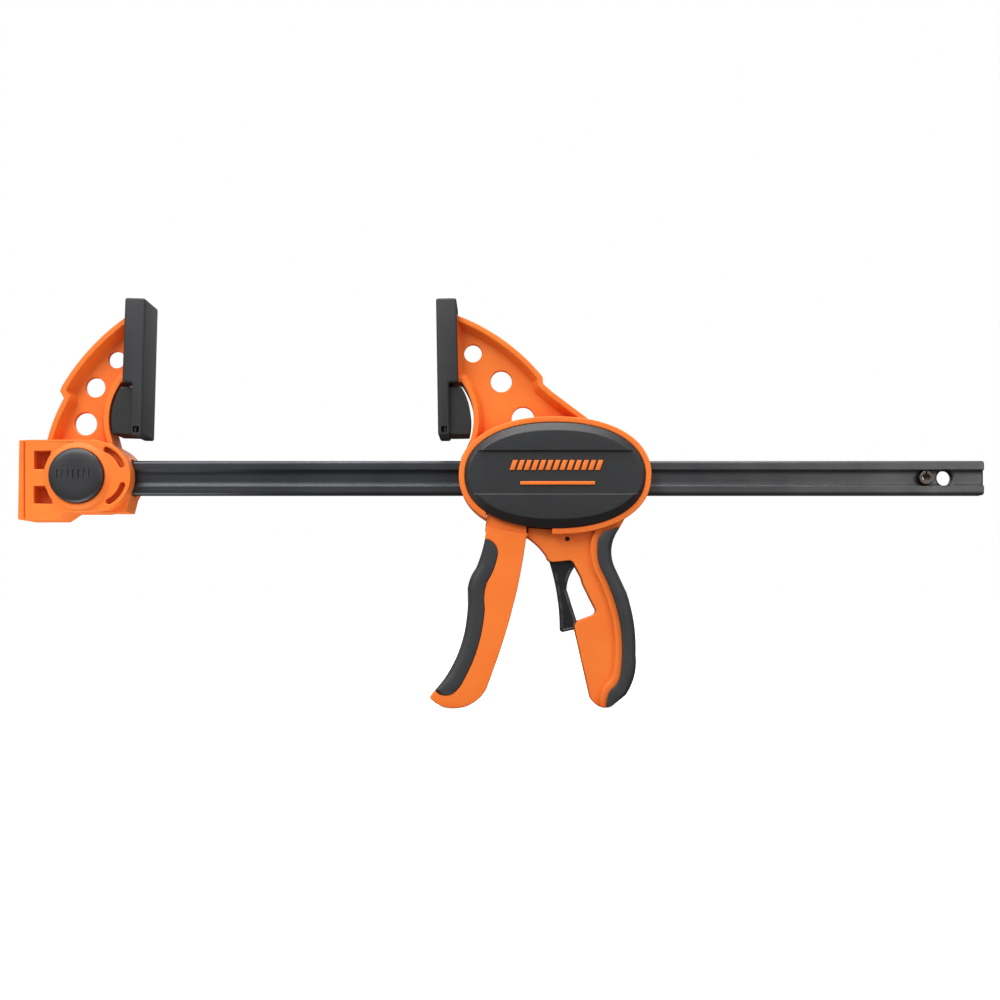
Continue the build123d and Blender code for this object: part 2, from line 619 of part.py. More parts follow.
with BuildSketch(HEAD_VIEW) as moving_arm_shape:
    nose, throat = nose_and_throat(HEAD_VIEW, MOVING_JAW_VIEW)
    with BuildLine():
        Polyline(*nose)
        ThreePointArc(*throat)
        Polyline(throat[2], (13.2, 9.6), (30.0, 4.0), (90.0, 4.0), (92.0, 28.6), (84.0, 31.2))
        Polyline((84.0, 31.2), (63.2, 46.8), (58.1, 51.3), (57.8, 55.2))
        ThreePointArc((57.8, 55.2), (34.1, 76.9), (9.6, 89.4))
        Line((9.6, 89.4), nose[0])
    make_face()

with BuildSketch(HEAD_VIEW) as handle_shape:
    with BuildLine():
        Polyline((52.0, -10.0), (49.8, -24.0), (49.2, -32.8))
        arcs((49.2, -32.8), (55.3, -37.6), (60.0, -43.4))
        arcs((60.0, -43.4), (61.3, -45.8), (63.8, -46.6))
        Line((63.8, -46.6), (71.6, -45.8))
        arcs((71.6, -45.8), (74.0, -46.2), (75.4, -48.0))
        Polyline((75.4, -48.0), (79.3, -55.2), (80.2, -58.6), (86.6, -71.8))
        arcs((86.6, -71.8), (87.2, -74.2), (85.6, -75.9))
        Line((85.6, -75.9), (77.6, -78.9))
        arcs((77.6, -78.9), (75.9, -80.6), (75.6, -83.4))
        Line((75.6, -83.4), (84.2, -121.6))
        arcs((84.2, -121.6), (89.8, -126.3), (97.6, -124.4))
        Line((97.6, -124.4), (103.4, -119.8))
        arcs((103.4, -119.8), (107.9, -110.6), (109.0, -97.9), (107.6, -77.6), (103.9, -63.4))
        Line((103.9, -63.4), (97.5, -49.7))
        arcs((97.5, -49.7), (95.6, -41.0), (98.1, -31.1))
        Polyline((98.1, -31.1), (102.6, -23.4), (98.0, -10.0), (52.0, -10.0))
    make_face()

with BuildSketch(HEAD_VIEW) as grip_side:
    with BuildLine():
        Polyline((120.0, -27.7), (99.8, -27.7), (93.4, -29.2))
        arcs((93.4, -29.2), (89.0, -32.4), (87.7, -37.1), (87.7, -43.2), (89.2, -50.0))
        arcs((89.2, -50.0), (96.2, -65.8), (100.1, -81.0), (101.1, -94.0), (100.0, -108.8))
        arcs((100.0, -108.8), (98.2, -113.2), (94.9, -116.5), (93.3, -119.8), (93.4, -128.0))
        Polyline((93.4, -128.0), (120.0, -128.0), (120.0, -27.7))
    make_face()

with BuildPart() as head_body:
    add(jaw_arm(HEAD_VIEW, MOVING_JAW_VIEW, moving_arm_shape.sketch_local, MOVING_HOLES))
    with BuildSketch(HEAD_VIEW):
        add(RIM_OVAL)
    extrude(amount=HOUSING_THICKNESS / 2, both=True)
    # handle: flat front half, raised band, and the core under the overmould
    with BuildSketch(HEAD_VIEW):
        add(handle_shape.sketch_local)
        add(grip_side.sketch_local, mode=Mode.SUBTRACT)
    extrude(amount=HANDLE_FACE / 2, both=True)
    with BuildSketch(HEAD_VIEW) as band:
        offset(grip_side.sketch_local, amount=HANDLE_BAND_WIDTH)
        add(grip_side.sketch_local, mode=Mode.SUBTRACT)
        add(handle_shape.sketch_local, mode=Mode.INTERSECT)
    extrude(amount=HANDLE_BAND / 2, both=True)
    with BuildSketch(HEAD_VIEW) as grip_core:
        offset(handle_shape.sketch_local, amount=-GRIP_SKIN)
        add(grip_side.sketch_local, mode=Mode.INTERSECT)
    extrude(amount=HANDLE_GRIP / 2 - GRIP_SKIN, both=True)
    # cavity, then the guides and the partition that stand in it
    with BuildSketch(HEAD_VIEW):
        add(CAVITY_OVAL)
    extrude(amount=BEYOND, both=True, mode=Mode.SUBTRACT)
    with BuildSketch(HEAD_VIEW):
        block(HOUSING_START, HOUSING_START + GUIDE_LENGTH, -COVER_HEIGHT, COVER_HEIGHT)
        block(GUIDE_FACE, HOUSING_END, -COVER_HEIGHT, COVER_HEIGHT)
        block(PARTITION_SETBACK, PARTITION_SETBACK + PARTITION_WALL, -COVER_HEIGHT, COVER_HEIGHT)
        block(PARTITION_SETBACK, BRAKE_SETBACK - BODY_GAP, -BRAKE_FULCRUM - 3, -BRAKE_FULCRUM + 1)
        add(oval_sketch(COVER_LENGTH + RIM_WALL, COVER_HEIGHT + RIM_WALL), mode=Mode.INTERSECT)
    extrude(amount=COVER_SEAT - SEAT_GAP, both=True)
    # bar bore, right through
    with BuildSketch(Plane(origin=(OPENING, 0, 0), x_dir=(0, 1, 0), z_dir=(1, 0, 0))):
        Rectangle(BORE_THICKNESS, BORE_HEIGHT)
    extrude(amount=2 * BEYOND, mode=Mode.SUBTRACT)
    # opening that the lever swings in, beside the trigger housing and in front of it
    for face in (1, -1):
        with BuildSketch(HEAD_VIEW.offset(face * HANDLE_FACE / 2)):
            block(LEVER_OPENING_START, LEVER_OPENING_END, -45, -BAR_HEIGHT)
        extrude(amount=face * BEYOND, mode=Mode.SUBTRACT)
    with BuildSketch(HEAD_VIEW):
        with BuildLine():
            Polyline(
                (LEVER_OPENING_START, -BAR_HEIGHT),
                (LEVER_OPENING_START, -45.0),
                (49.2, -45.0),
                (49.2, -32.8),
                (49.8, -24.0),
                (50.4, -BAR_HEIGHT),
                close=True,
            )
        make_face()
    extrude(amount=BEYOND, both=True, mode=Mode.SUBTRACT)
    # slots of the trigger and of its upper arm
    with BuildSketch(HEAD_VIEW):
        with BuildLine():
            Polyline(
                (60.9, -52.0),
                (60.9, -42.0),
                (65.5, -28.6),
                (75.6, -28.6),
                (75.6, -20.0),
                (93.2, -20.0),
                (93.2, -32.0),
                (81.0, -42.0),
                (78.2, -52.0),
                close=True,
            )
        make_face()
        block(70.0, 83.6, -88.6, -76.0)
    extrude(amount=TRIGGER_SLOT / 2, both=True, mode=Mode.SUBTRACT)
    with BuildSketch(HEAD_VIEW):
        with Locations(TRIGGER_PIN):
            Circle(TRIGGER_PIN_D / 2 + SEAT_GAP / 2)
    extrude(amount=BEYOND, both=True, mode=Mode.SUBTRACT)
head_body.part.label = "head_body"

with BuildPart() as handle_grip:
    with BuildSketch(HEAD_VIEW):
        add(handle_shape.sketch_local)
        offset(grip_side.sketch_local, amount=-SEAT_GAP, mode=Mode.INTERSECT)
    extrude(amount=HANDLE_GRIP / 2, both=True)
    with BuildSketch(HEAD_VIEW):
        offset(handle_shape.sketch_local, amount=SEAT_GAP - GRIP_SKIN)
    extrude(amount=HANDLE_GRIP / 2 - GRIP_SKIN + SEAT_GAP, both=True, mode=Mode.SUBTRACT)
    with BuildSketch(HEAD_VIEW):
        rim = 2 * (RIM_WALL + SEAT_GAP)
        add(oval_sketch(COVER_LENGTH + rim, COVER_HEIGHT + rim))
    extrude(amount=BEYOND, both=True, mode=Mode.SUBTRACT)
handle_grip.part.label = "handle_grip"


# ---------------------------------------------------------------- moving head: covers and screws
def oval_cover(face, label):
    """A dished oval cover; face is 1 for the front and -1 for the back."""
    with BuildPart() as cover:
        with BuildSketch(HEAD_VIEW.offset(face * COVER_SEAT)):
            add(COVER_OVAL)
        extrude(amount=face * COVER_EDGE)
        with BuildSketch(HEAD_VIEW.offset(face * HOUSING_THICKNESS / 2)):
            add(COVER_OVAL)
        with BuildSketch(HEAD_VIEW.offset(face * COVER_FACE)):
            add(oval_sketch(COVER_LENGTH - 2 * COVER_END_BEVEL, COVER_HEIGHT - 2 * COVER_SIDE_BEVEL))
        loft()
        with BuildSketch(HEAD_VIEW.offset(face * (COVER_FACE - COVER_CHANNEL_DEPTH))):
            with Locations((HOUSING_SETBACK, HOUSING_RISE + COVER_CHANNEL_RISE)):
                Rectangle(COVER_LENGTH, COVER_CHANNEL)
        extrude(amount=face * BEYOND, mode=Mode.SUBTRACT)
        with BuildSketch(HEAD_VIEW.offset(face * COVER_ROOF)):
            end_wall = COVER_END_BEVEL + COVER_WALL
            side_wall = COVER_SIDE_BEVEL + COVER_WALL
            add(oval_sketch(COVER_LENGTH - 2 * end_wall, COVER_HEIGHT - 2 * side_wall))
        extrude(amount=-face * BEYOND, mode=Mode.SUBTRACT)
        with BuildSketch(HEAD_VIEW.offset(face * COVER_SEAT)):
            with Locations(LEVER_PIN):
                Circle(LEVER_PIN_D / 2 + COVER_WALL)
        extrude(amount=face * (COVER_ROOF - COVER_SEAT))
        with BuildSketch(HEAD_VIEW.offset(face * BODY_GAP / 2)):
            with Locations(*SCREW_SPOTS):
                Circle(POST_D / 2)
        extrude(amount=face * (COVER_ROOF - BODY_GAP / 2))
        with BuildSketch(HEAD_VIEW):
            with Locations(LEVER_PIN):
                Circle(LEVER_PIN_D / 2 + SEAT_GAP / 2)
        extrude(amount=face * (LEVER_PIN_LENGTH / 2 + SEAT_GAP), mode=Mode.SUBTRACT)
        if face > 0:
            with BuildSketch(HEAD_VIEW):
                with Locations(*SCREW_SPOTS):
                    Circle(SCREW_D / 2 + SEAT_GAP / 2)
            extrude(amount=SCREW_TIP + SEAT_GAP, mode=Mode.SUBTRACT)
        else:
            with BuildSketch(HEAD_VIEW):
                with Locations(*SCREW_SPOTS):
                    Circle(SCREW_D / 2 + SEAT_GAP / 2)
            extrude(amount=-BEYOND, mode=Mode.SUBTRACT)
            with BuildSketch(HEAD_VIEW.offset(-SCREW_SEAT)):
                with Locations(*SCREW_SPOTS):
                    Circle(SCREW_HEAD_D / 2 + SEAT_GAP)
            extrude(amount=-BEYOND, mode=Mode.SUBTRACT)
    cover.part.label = label
    return cover


SCREW_SEAT = COVER_ROOF - SCREW_HEAD / 2
SCREW_TIP = SCREW_LENGTH - SCREW_SEAT
front_cover = oval_cover(1, "front_cover")
rear_cover = oval_cover(-1, "rear_cover")

with BuildPart() as cover_screws:
    with BuildSketch(HEAD_VIEW.offset(-SCREW_SEAT)):
        with Locations(*SCREW_SPOTS):
            Circle(SCREW_D / 2)
    extrude(amount=SCREW_LENGTH)
    with BuildSketch(HEAD_VIEW.offset(-SCREW_SEAT)):
        with Locations(*SCREW_SPOTS):
            Circle(SCREW_HEAD_D / 2)
    extrude(amount=-SCREW_HEAD)
    with BuildSketch(HEAD_VIEW.offset(-SCREW_SEAT - SCREW_HEAD / 2)):
        with Locations(*SCREW_SPOTS):
            Rectangle(SCREW_HEAD_D * 0.6, 0.8)
            Rectangle(0.8, SCREW_HEAD_D * 0.6)
    extrude(amount=-SCREW_HEAD, mode=Mode.SUBTRACT)
cover_screws.part.label = "cover_screws"

# ---------------------------------------------------------------- squeeze lever
with BuildSketch(HEAD_VIEW) as lever_shape:
    with BuildLine():
        Line((27.0, -27.4), (49.0, -31.6))
        arcs((49.0, -31.6), (43.4, -63.4), (33.3, -99.0))
        Line((33.3, -99.0), (27.2, -115.9))
        arcs((27.2, -115.9), (21.2, -122.9), (11.1, -126.6), (3.2, -125.9), (-3.6, -121.6))
        Polyline((-3.6, -121.6), (-4.1, -120.3), (1.9, -113.2))
        arcs((1.9, -113.2), (11.2, -96.8), (16.0, -78.0), (16.7, -70.0), (16.6, -61.5))
        arcs((16.6, -61.5), (18.2, -55.2), (21.2, -50.0), (24.6, -40.4), (27.0, -27.4))
    make_face()

with BuildSketch(HEAD_VIEW) as lever_grip_side:
    with BuildLine():
        Polyline((-20.0, -34.2), (26.6, -34.2))
        arcs((26.6, -34.2), (31.6, -37.2), (33.1, -42.6))
        arcs((33.1, -42.6), (31.2, -49.8), (27.4, -57.4), (26.0, -62.4), (26.0, -71.6))
        arcs((26.0, -71.6), (22.7, -91.4), (14.6, -111.0))
        arcs((14.6, -111.0), (12.1, -115.2), (8.4, -118.6), (3.0, -119.4), (-1.6, -116.6))
        Polyline((-1.6, -116.6), (-20.0, -116.6), (-20.0, -34.2))
    make_face()

with BuildSketch(HEAD_VIEW) as lever_neck_shape:
    with BuildLine():
        Polyline((49.3, -33.0), (49.7, -12.0), (52.0, LEVER_PIN_HEIGHT))
        ThreePointArc(
            (52.0, LEVER_PIN_HEIGHT),
            (LEVER_PIN_SETBACK, LEVER_PIN_HEIGHT + 6.0),
            (40.0, LEVER_PIN_HEIGHT),
        )
        Polyline((40.0, LEVER_PIN_HEIGHT), (27.8, -14.0), (27.1, -24.0), (26.6, -31.0), (49.3, -33.0))
    make_face()

with BuildPart() as squeeze_lever:
    with BuildSketch(HEAD_VIEW):
        add(lever_shape.sketch_local)
        add(lever_grip_side.sketch_local, mode=Mode.SUBTRACT)
    extrude(amount=LEVER_THICKNESS / 2, both=True)
    with BuildSketch(HEAD_VIEW):
        offset(lever_shape.sketch_local, amount=-GRIP_SKIN)
    extrude(amount=LEVER_GRIP / 2 - GRIP_SKIN, both=True)
    with BuildSketch(HEAD_VIEW):
        add(lever_neck_shape.sketch_local)
    extrude(amount=LEVER_NECK / 2, both=True)
    # channel, open towards the handle
    with BuildSketch(HEAD_VIEW):
        with BuildLine():
            Polyline((60.0, 30.0), (60.0, -112.0), (17.0, -112.0))
            arcs((17.0, -112.0), (22.9, -90.0), (26.0, -60.0), (28.8, -44.0), (32.0, -24.0))
            Polyline((32.0, -24.0), (35.0, -BRIDGE_TOP), (20.0, -BRIDGE_TOP), (20.0, 30.0), (60.0, 30.0))
        make_face()
    extrude(amount=LEVER_CHEEK_GAP / 2, both=True, mode=Mode.SUBTRACT)
    # bridge that pushes the drive plates, and the hub on the pin
    with BuildSketch(HEAD_VIEW):
        bridge_face = DRIVE_SETBACK - BODY_GAP
        block(bridge_face - LEVER_BRIDGE, bridge_face, -BRIDGE_TOP - LEVER_BRIDGE, -BRIDGE_TOP)
        with Locations(LEVER_PIN):
            Circle(LEVER_HUB_D / 2)
    extrude(amount=LEVER_NECK / 2, both=True)
    with BuildSketch(HEAD_VIEW):
        with Locations(LEVER_PIN):
            Circle(LEVER_PIN_D / 2 + PIN_GAP)
    extrude(amount=BEYOND, both=True, mode=Mode.SUBTRACT)
squeeze_lever.part.label = "squeeze_lever"

with BuildPart() as lever_grip:
    with BuildSketch(HEAD_VIEW):
        add(lever_shape.sketch_local)
        offset(lever_grip_side.sketch_local, amount=-SEAT_GAP, mode=Mode.INTERSECT)
    extrude(amount=LEVER_GRIP / 2, both=True)
    with BuildSketch(HEAD_VIEW):
        offset(lever_shape.sketch_local, amount=SEAT_GAP - GRIP_SKIN)
    extrude(amount=LEVER_GRIP / 2 - GRIP_SKIN + SEAT_GAP, both=True, mode=Mode.SUBTRACT)
lever_grip.part.label = "lever_grip"

with BuildPart() as lever_pin:
    with BuildSketch(HEAD_VIEW):
        with Locations(LEVER_PIN):
            Circle(LEVER_PIN_D / 2)
    extrude(amount=LEVER_PIN_LENGTH / 2, both=True)
lever_pin.part.label = "lever_pin"

# ---------------------------------------------------------------- drive and brake plates
PLATE_STACK = PLATE_COUNT * PLATE_THICKNESS
with BuildPart() as drive_plates:
    for number in range(PLATE_COUNT):
        plate_x = OPENING + DRIVE_SETBACK + number * (PLATE_THICKNESS + SEAT_GAP)
        with BuildSketch(Plane(origin=(plate_x, 0, 0), x_dir=(0, 1, 0), z_dir=(1, 0, 0))):
            with Locations((0, (DRIVE_TOP - DRIVE_BOTTOM) / 2)):
                RectangleRounded(PLATE_WIDTH, DRIVE_TOP + DRIVE_BOTTOM, 1.5)
            Rectangle(BORE_THICKNESS + BODY_GAP, BORE_HEIGHT + 2 * BODY_GAP, mode=Mode.SUBTRACT)
        extrude(amount=PLATE_THICKNESS)
drive_plates.part.label = "drive_plates"

drive_spring_start = DRIVE_SETBACK + PLATE_STACK + 3 * SEAT_GAP
drive_spring = coil(
    (OPENING + drive_spring_start, 0, 0),
    (1, 0, 0),
    PARTITION_SETBACK - SEAT_GAP - drive_spring_start,
    DRIVE_SPRING_D,
    DRIVE_SPRING_WIRE,
    DRIVE_SPRING_TURNS,
)
drive_spring.part.label = "drive_spring"

brake_lean = radians(BRAKE_TILT)
brake_out = Vector(cos(brake_lean), 0, sin(brake_lean))
brake_origin = Vector(OPENING + BRAKE_SETBACK, 0, -BRAKE_FULCRUM)
brake_window = (BAR_HEIGHT + 2 * SLIDE_GAP) / cos(brake_lean) + PLATE_STACK * tan(brake_lean)
brake_window_middle = (BRAKE_FULCRUM - PLATE_STACK / 2 * sin(brake_lean)) / cos(brake_lean)
with BuildPart() as brake_plates:
    for number in range(PLATE_COUNT):
        plate_start = brake_origin + brake_out * number * (PLATE_THICKNESS + SEAT_GAP / 2)
        with BuildSketch(Plane(origin=plate_start, x_dir=(0, 1, 0), z_dir=brake_out)):
            with Locations((0, BRAKE_HEIGHT / 2 - 2)):
                RectangleRounded(PLATE_WIDTH, BRAKE_HEIGHT + 4, 1.5)
            with Locations((0, -BRAKE_TAIL / 2)):
                Rectangle(BRAKE_TAIL_WIDTH, BRAKE_TAIL)
            with Locations((0, brake_window_middle)):
                Rectangle(BORE_THICKNESS + BODY_GAP, brake_window, mode=Mode.SUBTRACT)
        extrude(amount=PLATE_THICKNESS)
brake_plates.part.label = "brake_plates"

brake_spring_reach = (BRAKE_SPRING_HEIGHT + BRAKE_FULCRUM) * tan(brake_lean)
brake_spring_start = BRAKE_SETBACK + PLATE_STACK - brake_spring_reach + 2 * BODY_GAP
brake_spring = coil(
    (OPENING + brake_spring_start, 0, BRAKE_SPRING_HEIGHT),
    (1, 0, 0),
    GUIDE_FACE - SEAT_GAP - brake_spring_start,
    BRAKE_SPRING_D,
    BRAKE_SPRING_WIRE,
    BRAKE_SPRING_TURNS,
)
brake_spring.part.label = "brake_spring"

# ---------------------------------------------------------------- release trigger
with BuildPart() as release_trigger:
    with BuildSketch(HEAD_VIEW):
        with Locations(TRIGGER_PIN):
            Circle(TRIGGER_HUB_D / 2)
        with BuildLine():
            Polyline((66.9, -34.0), (61.2, -44.2))
            arcs((61.2, -44.2), (65.8, -62.4), (67.6, -84.6))
            Polyline((67.6, -84.6), (68.9, -85.4), (76.1, -83.7), (77.1, -79.9), (71.2, -61.7))
            arcs((71.2, -61.7), (72.6, -54.8), (75.4, -49.6))
            Polyline((75.4, -49.6), (75.6, -47.8), (75.9, -34.0), (66.9, -34.0))
        make_face()
        with BuildLine():
            Polyline(
                (73.0, -30.0),
                (84.5, -27.4),
                (86.2, -27.0),
                (86.2, -20.6),
                (90.2, -20.6),
                (90.2, -30.0),
                (74.0, -38.0),
                close=True,
            )
        make_face()
        with Locations(TRIGGER_PIN):
            Circle(TRIGGER_PIN_D / 2 + PIN_GAP, mode=Mode.SUBTRACT)
    extrude(amount=TRIGGER_THICKNESS / 2, both=True)
release_trigger.part.label = "release_trigger"

with BuildPart() as trigger_pin:
    with BuildSketch(HEAD_VIEW):
        with Locations(TRIGGER_PIN):
            Circle(TRIGGER_PIN_D / 2)
    extrude(amount=HANDLE_FACE / 2 - 2 * BODY_GAP, both=True)
trigger_pin.part.label = "trigger_pin"

# ---------------------------------------------------------------- one STEP file for each piece
PIECES = [
    bar, stop_pin, fixed_jaw, push_button, lock_yoke, lock_pin, lock_cap, button_spring,
    fixed_pad, fixed_foot, fixed_foot_pin, moving_pad, moving_foot, moving_foot_pin,
    head_body, handle_grip, front_cover, rear_cover, cover_screws,
    squeeze_lever, lever_grip, lever_pin, drive_plates, drive_spring,
    brake_plates, brake_spring, release_trigger, trigger_pin,
]
os.makedirs("parts", exist_ok=True)
for piece in PIECES:
    export_step(piece.part, f"parts/{piece.part.label}.step")
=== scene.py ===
# %% [markdown]
# # A quick release bar clamp, from bare solids to a finished look
#
# The clamp comes in as plain solids: every piece has its true shape, its true place and no
# finish. This file is a set of short lessons. It sets up a camera and a small studio, mixes the
# plastics, rubbers and steels, rounds the moulded edges, and models the soft pads and grips,
# the trigger's panels, the push button's face, the mark on the cover and the springs.
#
# Everything is in metres, X runs along the bar, Z is up and the front looks along -Y.

# %% Load the clamp
import json
from math import pi, radians, sin

import bmesh
import bpy
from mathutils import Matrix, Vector

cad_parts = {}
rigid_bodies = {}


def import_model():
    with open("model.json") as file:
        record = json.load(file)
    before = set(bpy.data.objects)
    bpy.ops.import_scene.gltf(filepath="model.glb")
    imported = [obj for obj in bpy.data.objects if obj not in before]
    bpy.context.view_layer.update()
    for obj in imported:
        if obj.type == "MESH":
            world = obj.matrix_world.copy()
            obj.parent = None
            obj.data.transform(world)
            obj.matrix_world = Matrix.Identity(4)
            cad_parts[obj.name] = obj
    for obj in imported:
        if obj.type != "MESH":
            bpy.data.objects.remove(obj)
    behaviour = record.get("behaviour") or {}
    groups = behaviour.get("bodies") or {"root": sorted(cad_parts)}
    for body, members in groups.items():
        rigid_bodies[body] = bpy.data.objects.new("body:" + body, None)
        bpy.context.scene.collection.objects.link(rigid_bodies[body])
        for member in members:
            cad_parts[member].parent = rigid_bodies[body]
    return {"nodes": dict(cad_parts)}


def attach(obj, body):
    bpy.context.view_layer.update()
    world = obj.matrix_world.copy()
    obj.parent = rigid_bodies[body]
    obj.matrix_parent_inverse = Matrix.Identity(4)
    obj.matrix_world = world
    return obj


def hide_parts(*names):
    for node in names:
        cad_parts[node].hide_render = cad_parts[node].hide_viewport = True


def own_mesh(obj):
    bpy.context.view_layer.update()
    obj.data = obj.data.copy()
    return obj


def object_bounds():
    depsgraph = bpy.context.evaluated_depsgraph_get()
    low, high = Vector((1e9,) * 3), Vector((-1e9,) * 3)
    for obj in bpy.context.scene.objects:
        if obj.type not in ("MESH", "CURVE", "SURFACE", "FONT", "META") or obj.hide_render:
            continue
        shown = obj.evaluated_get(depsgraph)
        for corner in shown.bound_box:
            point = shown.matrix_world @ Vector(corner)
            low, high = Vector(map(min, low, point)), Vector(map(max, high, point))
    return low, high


for leftover in list(bpy.data.objects):
    bpy.data.objects.remove(leftover)
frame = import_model()
cad_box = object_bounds()
NODES = frame["nodes"]
bpy.ops.object.select_all(action="DESELECT")
print("size in mm:", [round((high - low) * 1000, 1) for low, high in zip(*cad_box)])

# %% [markdown]
# ## Units
#
# A tool like this is drawn in millimetres, and Blender counts in metres. One small value does
# the change, so that each size below can be read as it would stand on a drawing.

# %% Millimetres
MM = 0.001

# %% [markdown]
# ## Small steps of a material
#
# A material is a chain of small steps. Two of them come back all the time: to change one span
# of numbers to another, and to multiply. Each is written once, here.

# %% Small steps
def rescale(tree, value, low, high, new_low=0.0, new_high=1.0):
    """Changes the span from low to high to the span from new_low to new_high."""
    node = tree.nodes.new("ShaderNodeMapRange")
    node.inputs["From Min"].default_value = low
    node.inputs["From Max"].default_value = high
    node.inputs["To Min"].default_value = new_low
    node.inputs["To Max"].default_value = new_high
    tree.links.new(value, node.inputs["Value"])
    return node.outputs["Result"]


def times(tree, value, other):
    """Multiplies a value by another one, or by a plain number."""
    node = tree.nodes.new("ShaderNodeMath")
    node.operation = "MULTIPLY"
    tree.links.new(value, node.inputs[0])
    if isinstance(other, float):
        node.inputs[1].default_value = other
    else:
        tree.links.new(other, node.inputs[1])
    return node.outputs["Value"]


# %% [markdown]
# ## Camera
#
# A product portrait of a flat tool is taken square on, from three quarters of a metre away,
# with a moderately long lens so that the two ends don't look bent. The camera stands a little
# below the bar. Tilting it up would make the jaws lean together, so it stays level and the
# lens is shifted instead, as on a view camera.

# %% Place the camera
CAMERA_X = 194.4 * MM       # close to the middle of the bar
CAMERA_AWAY = 750 * MM
CAMERA_DROP = 67.5 * MM     # below the middle of the bar
camera_data = bpy.data.cameras.new("portrait camera")
camera = bpy.data.objects.new("portrait camera", camera_data)
bpy.context.scene.collection.objects.link(camera)
camera.location = (CAMERA_X, -CAMERA_AWAY, -CAMERA_DROP)
camera.rotation_euler = (radians(90), 0, 0)
camera_data.sensor_width = 36.0
camera_data.lens = 48.6
camera_data.shift_y = 0.1   # upwards, as a share of the picture's width
bpy.context.scene.camera = camera
print("camera at", [round(value, 3) for value in camera.location])

# %% [markdown]
# ## Studio
#
# Black plastic shows hardly any colour of its own: what we read as its shape is the reflection
# of the studio. So the light matters as much as the material. One large soft light stands high
# at the left, one hangs overhead and gives the top edges their shine, a weaker one at the right
# opens the shadows, one behind draws the outlines, and the floor is pale.
#
# A white floor would also light every underside. Real studios hang black cloth there. Here the
# floor and the sky are white where the camera sees them, greyer in the light they throw, and
# the floor is nearly black in reflections, which a Light Path node can tell apart. The floor
# also glows for the camera alone, so that it stays white right out to the horizon and only the
# faintest contact shadow is left on it. A small white card under the lock's box opens the
# shadow there, as a photographer's card would.

# %% Floor
CLAMP_MIDDLE = (0.2, 0, 0)
FLOOR_GAP = 0.3 * MM        # under the lowest piece
IN_MIRRORS = 0.05           # how bright the floor is in reflections
GLOW_GROWS = (0.5, 2.5)     # from here to there, in metres from the clamp


def stage_material(name, seen, glow, thrown):
    """A plain matt surface: seen and glow are for the eye, thrown for the light it gives."""
    material = bpy.data.materials.new(name)
    material.use_nodes = True
    tree = material.node_tree
    nodes, links = tree.nodes, tree.links
    surface = nodes["Principled BSDF"]
    surface.inputs["Roughness"].default_value = 1.0
    surface.inputs["Specular IOR Level"].default_value = 0.0
    surface.inputs["Emission Color"].default_value = (1, 1, 1, 1)
    path = nodes.new("ShaderNodeLightPath")
    mirrored = nodes.new("ShaderNodeMix")
    mirrored.data_type = "RGBA"
    mirrored.inputs["A"].default_value = (thrown, thrown, thrown, 1)
    mirrored.inputs["B"].default_value = (IN_MIRRORS, IN_MIRRORS, IN_MIRRORS, 1)
    choose = nodes.new("ShaderNodeMix")
    choose.data_type = "RGBA"
    choose.inputs["B"].default_value = (seen, seen, seen, 1)
    links.new(path.outputs["Is Glossy Ray"], mirrored.inputs["Factor"])
    links.new(mirrored.outputs["Result"], choose.inputs["A"])
    links.new(path.outputs["Is Camera Ray"], choose.inputs["Factor"])
    links.new(choose.outputs["Result"], surface.inputs["Base Color"])
    far_off = nodes.new("ShaderNodeVectorMath")
    far_off.operation = "LENGTH"
    links.new(nodes.new("ShaderNodeTexCoord").outputs["Object"], far_off.inputs[0])
    brighter = rescale(tree, far_off.outputs["Value"], *GLOW_GROWS, glow, 1.0)
    own_light = times(tree, path.outputs["Is Camera Ray"], brighter)
    links.new(own_light, surface.inputs["Emission Strength"])
    return material


floor_height = cad_box[0][2] - FLOOR_GAP
bpy.ops.mesh.primitive_plane_add(size=80, location=(CLAMP_MIDDLE[0], 0, floor_height))
floor = bpy.context.object
floor.name = "studio_floor"
floor.data.materials.append(stage_material("pale floor", seen=0.85, glow=0.9, thrown=0.3))
print("floor at", round(floor_height * 1000, 1), "mm")

# %% Sky and lamps
world = bpy.data.worlds.new("studio sky")
bpy.context.scene.world = world
world.use_nodes = True
SKY_THROWN, SKY_SEEN = 0.45, 1.0
sky_tree = world.node_tree
sky = sky_tree.nodes["Background"]
sky_path = sky_tree.nodes.new("ShaderNodeLightPath")
by_eye = sky_path.outputs["Is Camera Ray"]
sky_tree.links.new(rescale(sky_tree, by_eye, 0, 1, SKY_THROWN, SKY_SEEN), sky.inputs["Strength"])
sky.inputs["Color"].default_value = (1, 1, 1, 1)


def soft_lamp(name, place, width, power, looks_at=CLAMP_MIDDLE):
    """A square soft box that looks at the middle of the clamp, or at another spot of it."""
    data = bpy.data.lights.new(name, "AREA")
    data.shape = "SQUARE"
    data.size = width
    data.energy = power
    lamp = bpy.data.objects.new(name, data)
    bpy.context.scene.collection.objects.link(lamp)
    lamp.location = place
    aim = Vector(looks_at) - Vector(place)
    lamp.rotation_euler = aim.to_track_quat("-Z", "Y").to_euler()
    return lamp


soft_lamp("key light", (-0.5, -1.0, 1.1), width=0.9, power=22)
soft_lamp("top light", (0.2, -0.25, 1.3), width=0.8, power=16)
soft_lamp("fill light", (1.3, -1.2, 0.3), width=1.0, power=7)
soft_lamp("back light", (0.4, 1.3, 1.2), width=1.2, power=12)
LOCK_BOX_X = -0.04
card_place = (LOCK_BOX_X, -0.03, -0.115)
card = soft_lamp("white card", card_place, width=0.12, power=0.16, looks_at=(LOCK_BOX_X, 0, 0))
card.visible_camera = False
bpy.context.scene.view_settings.view_transform = "Standard"

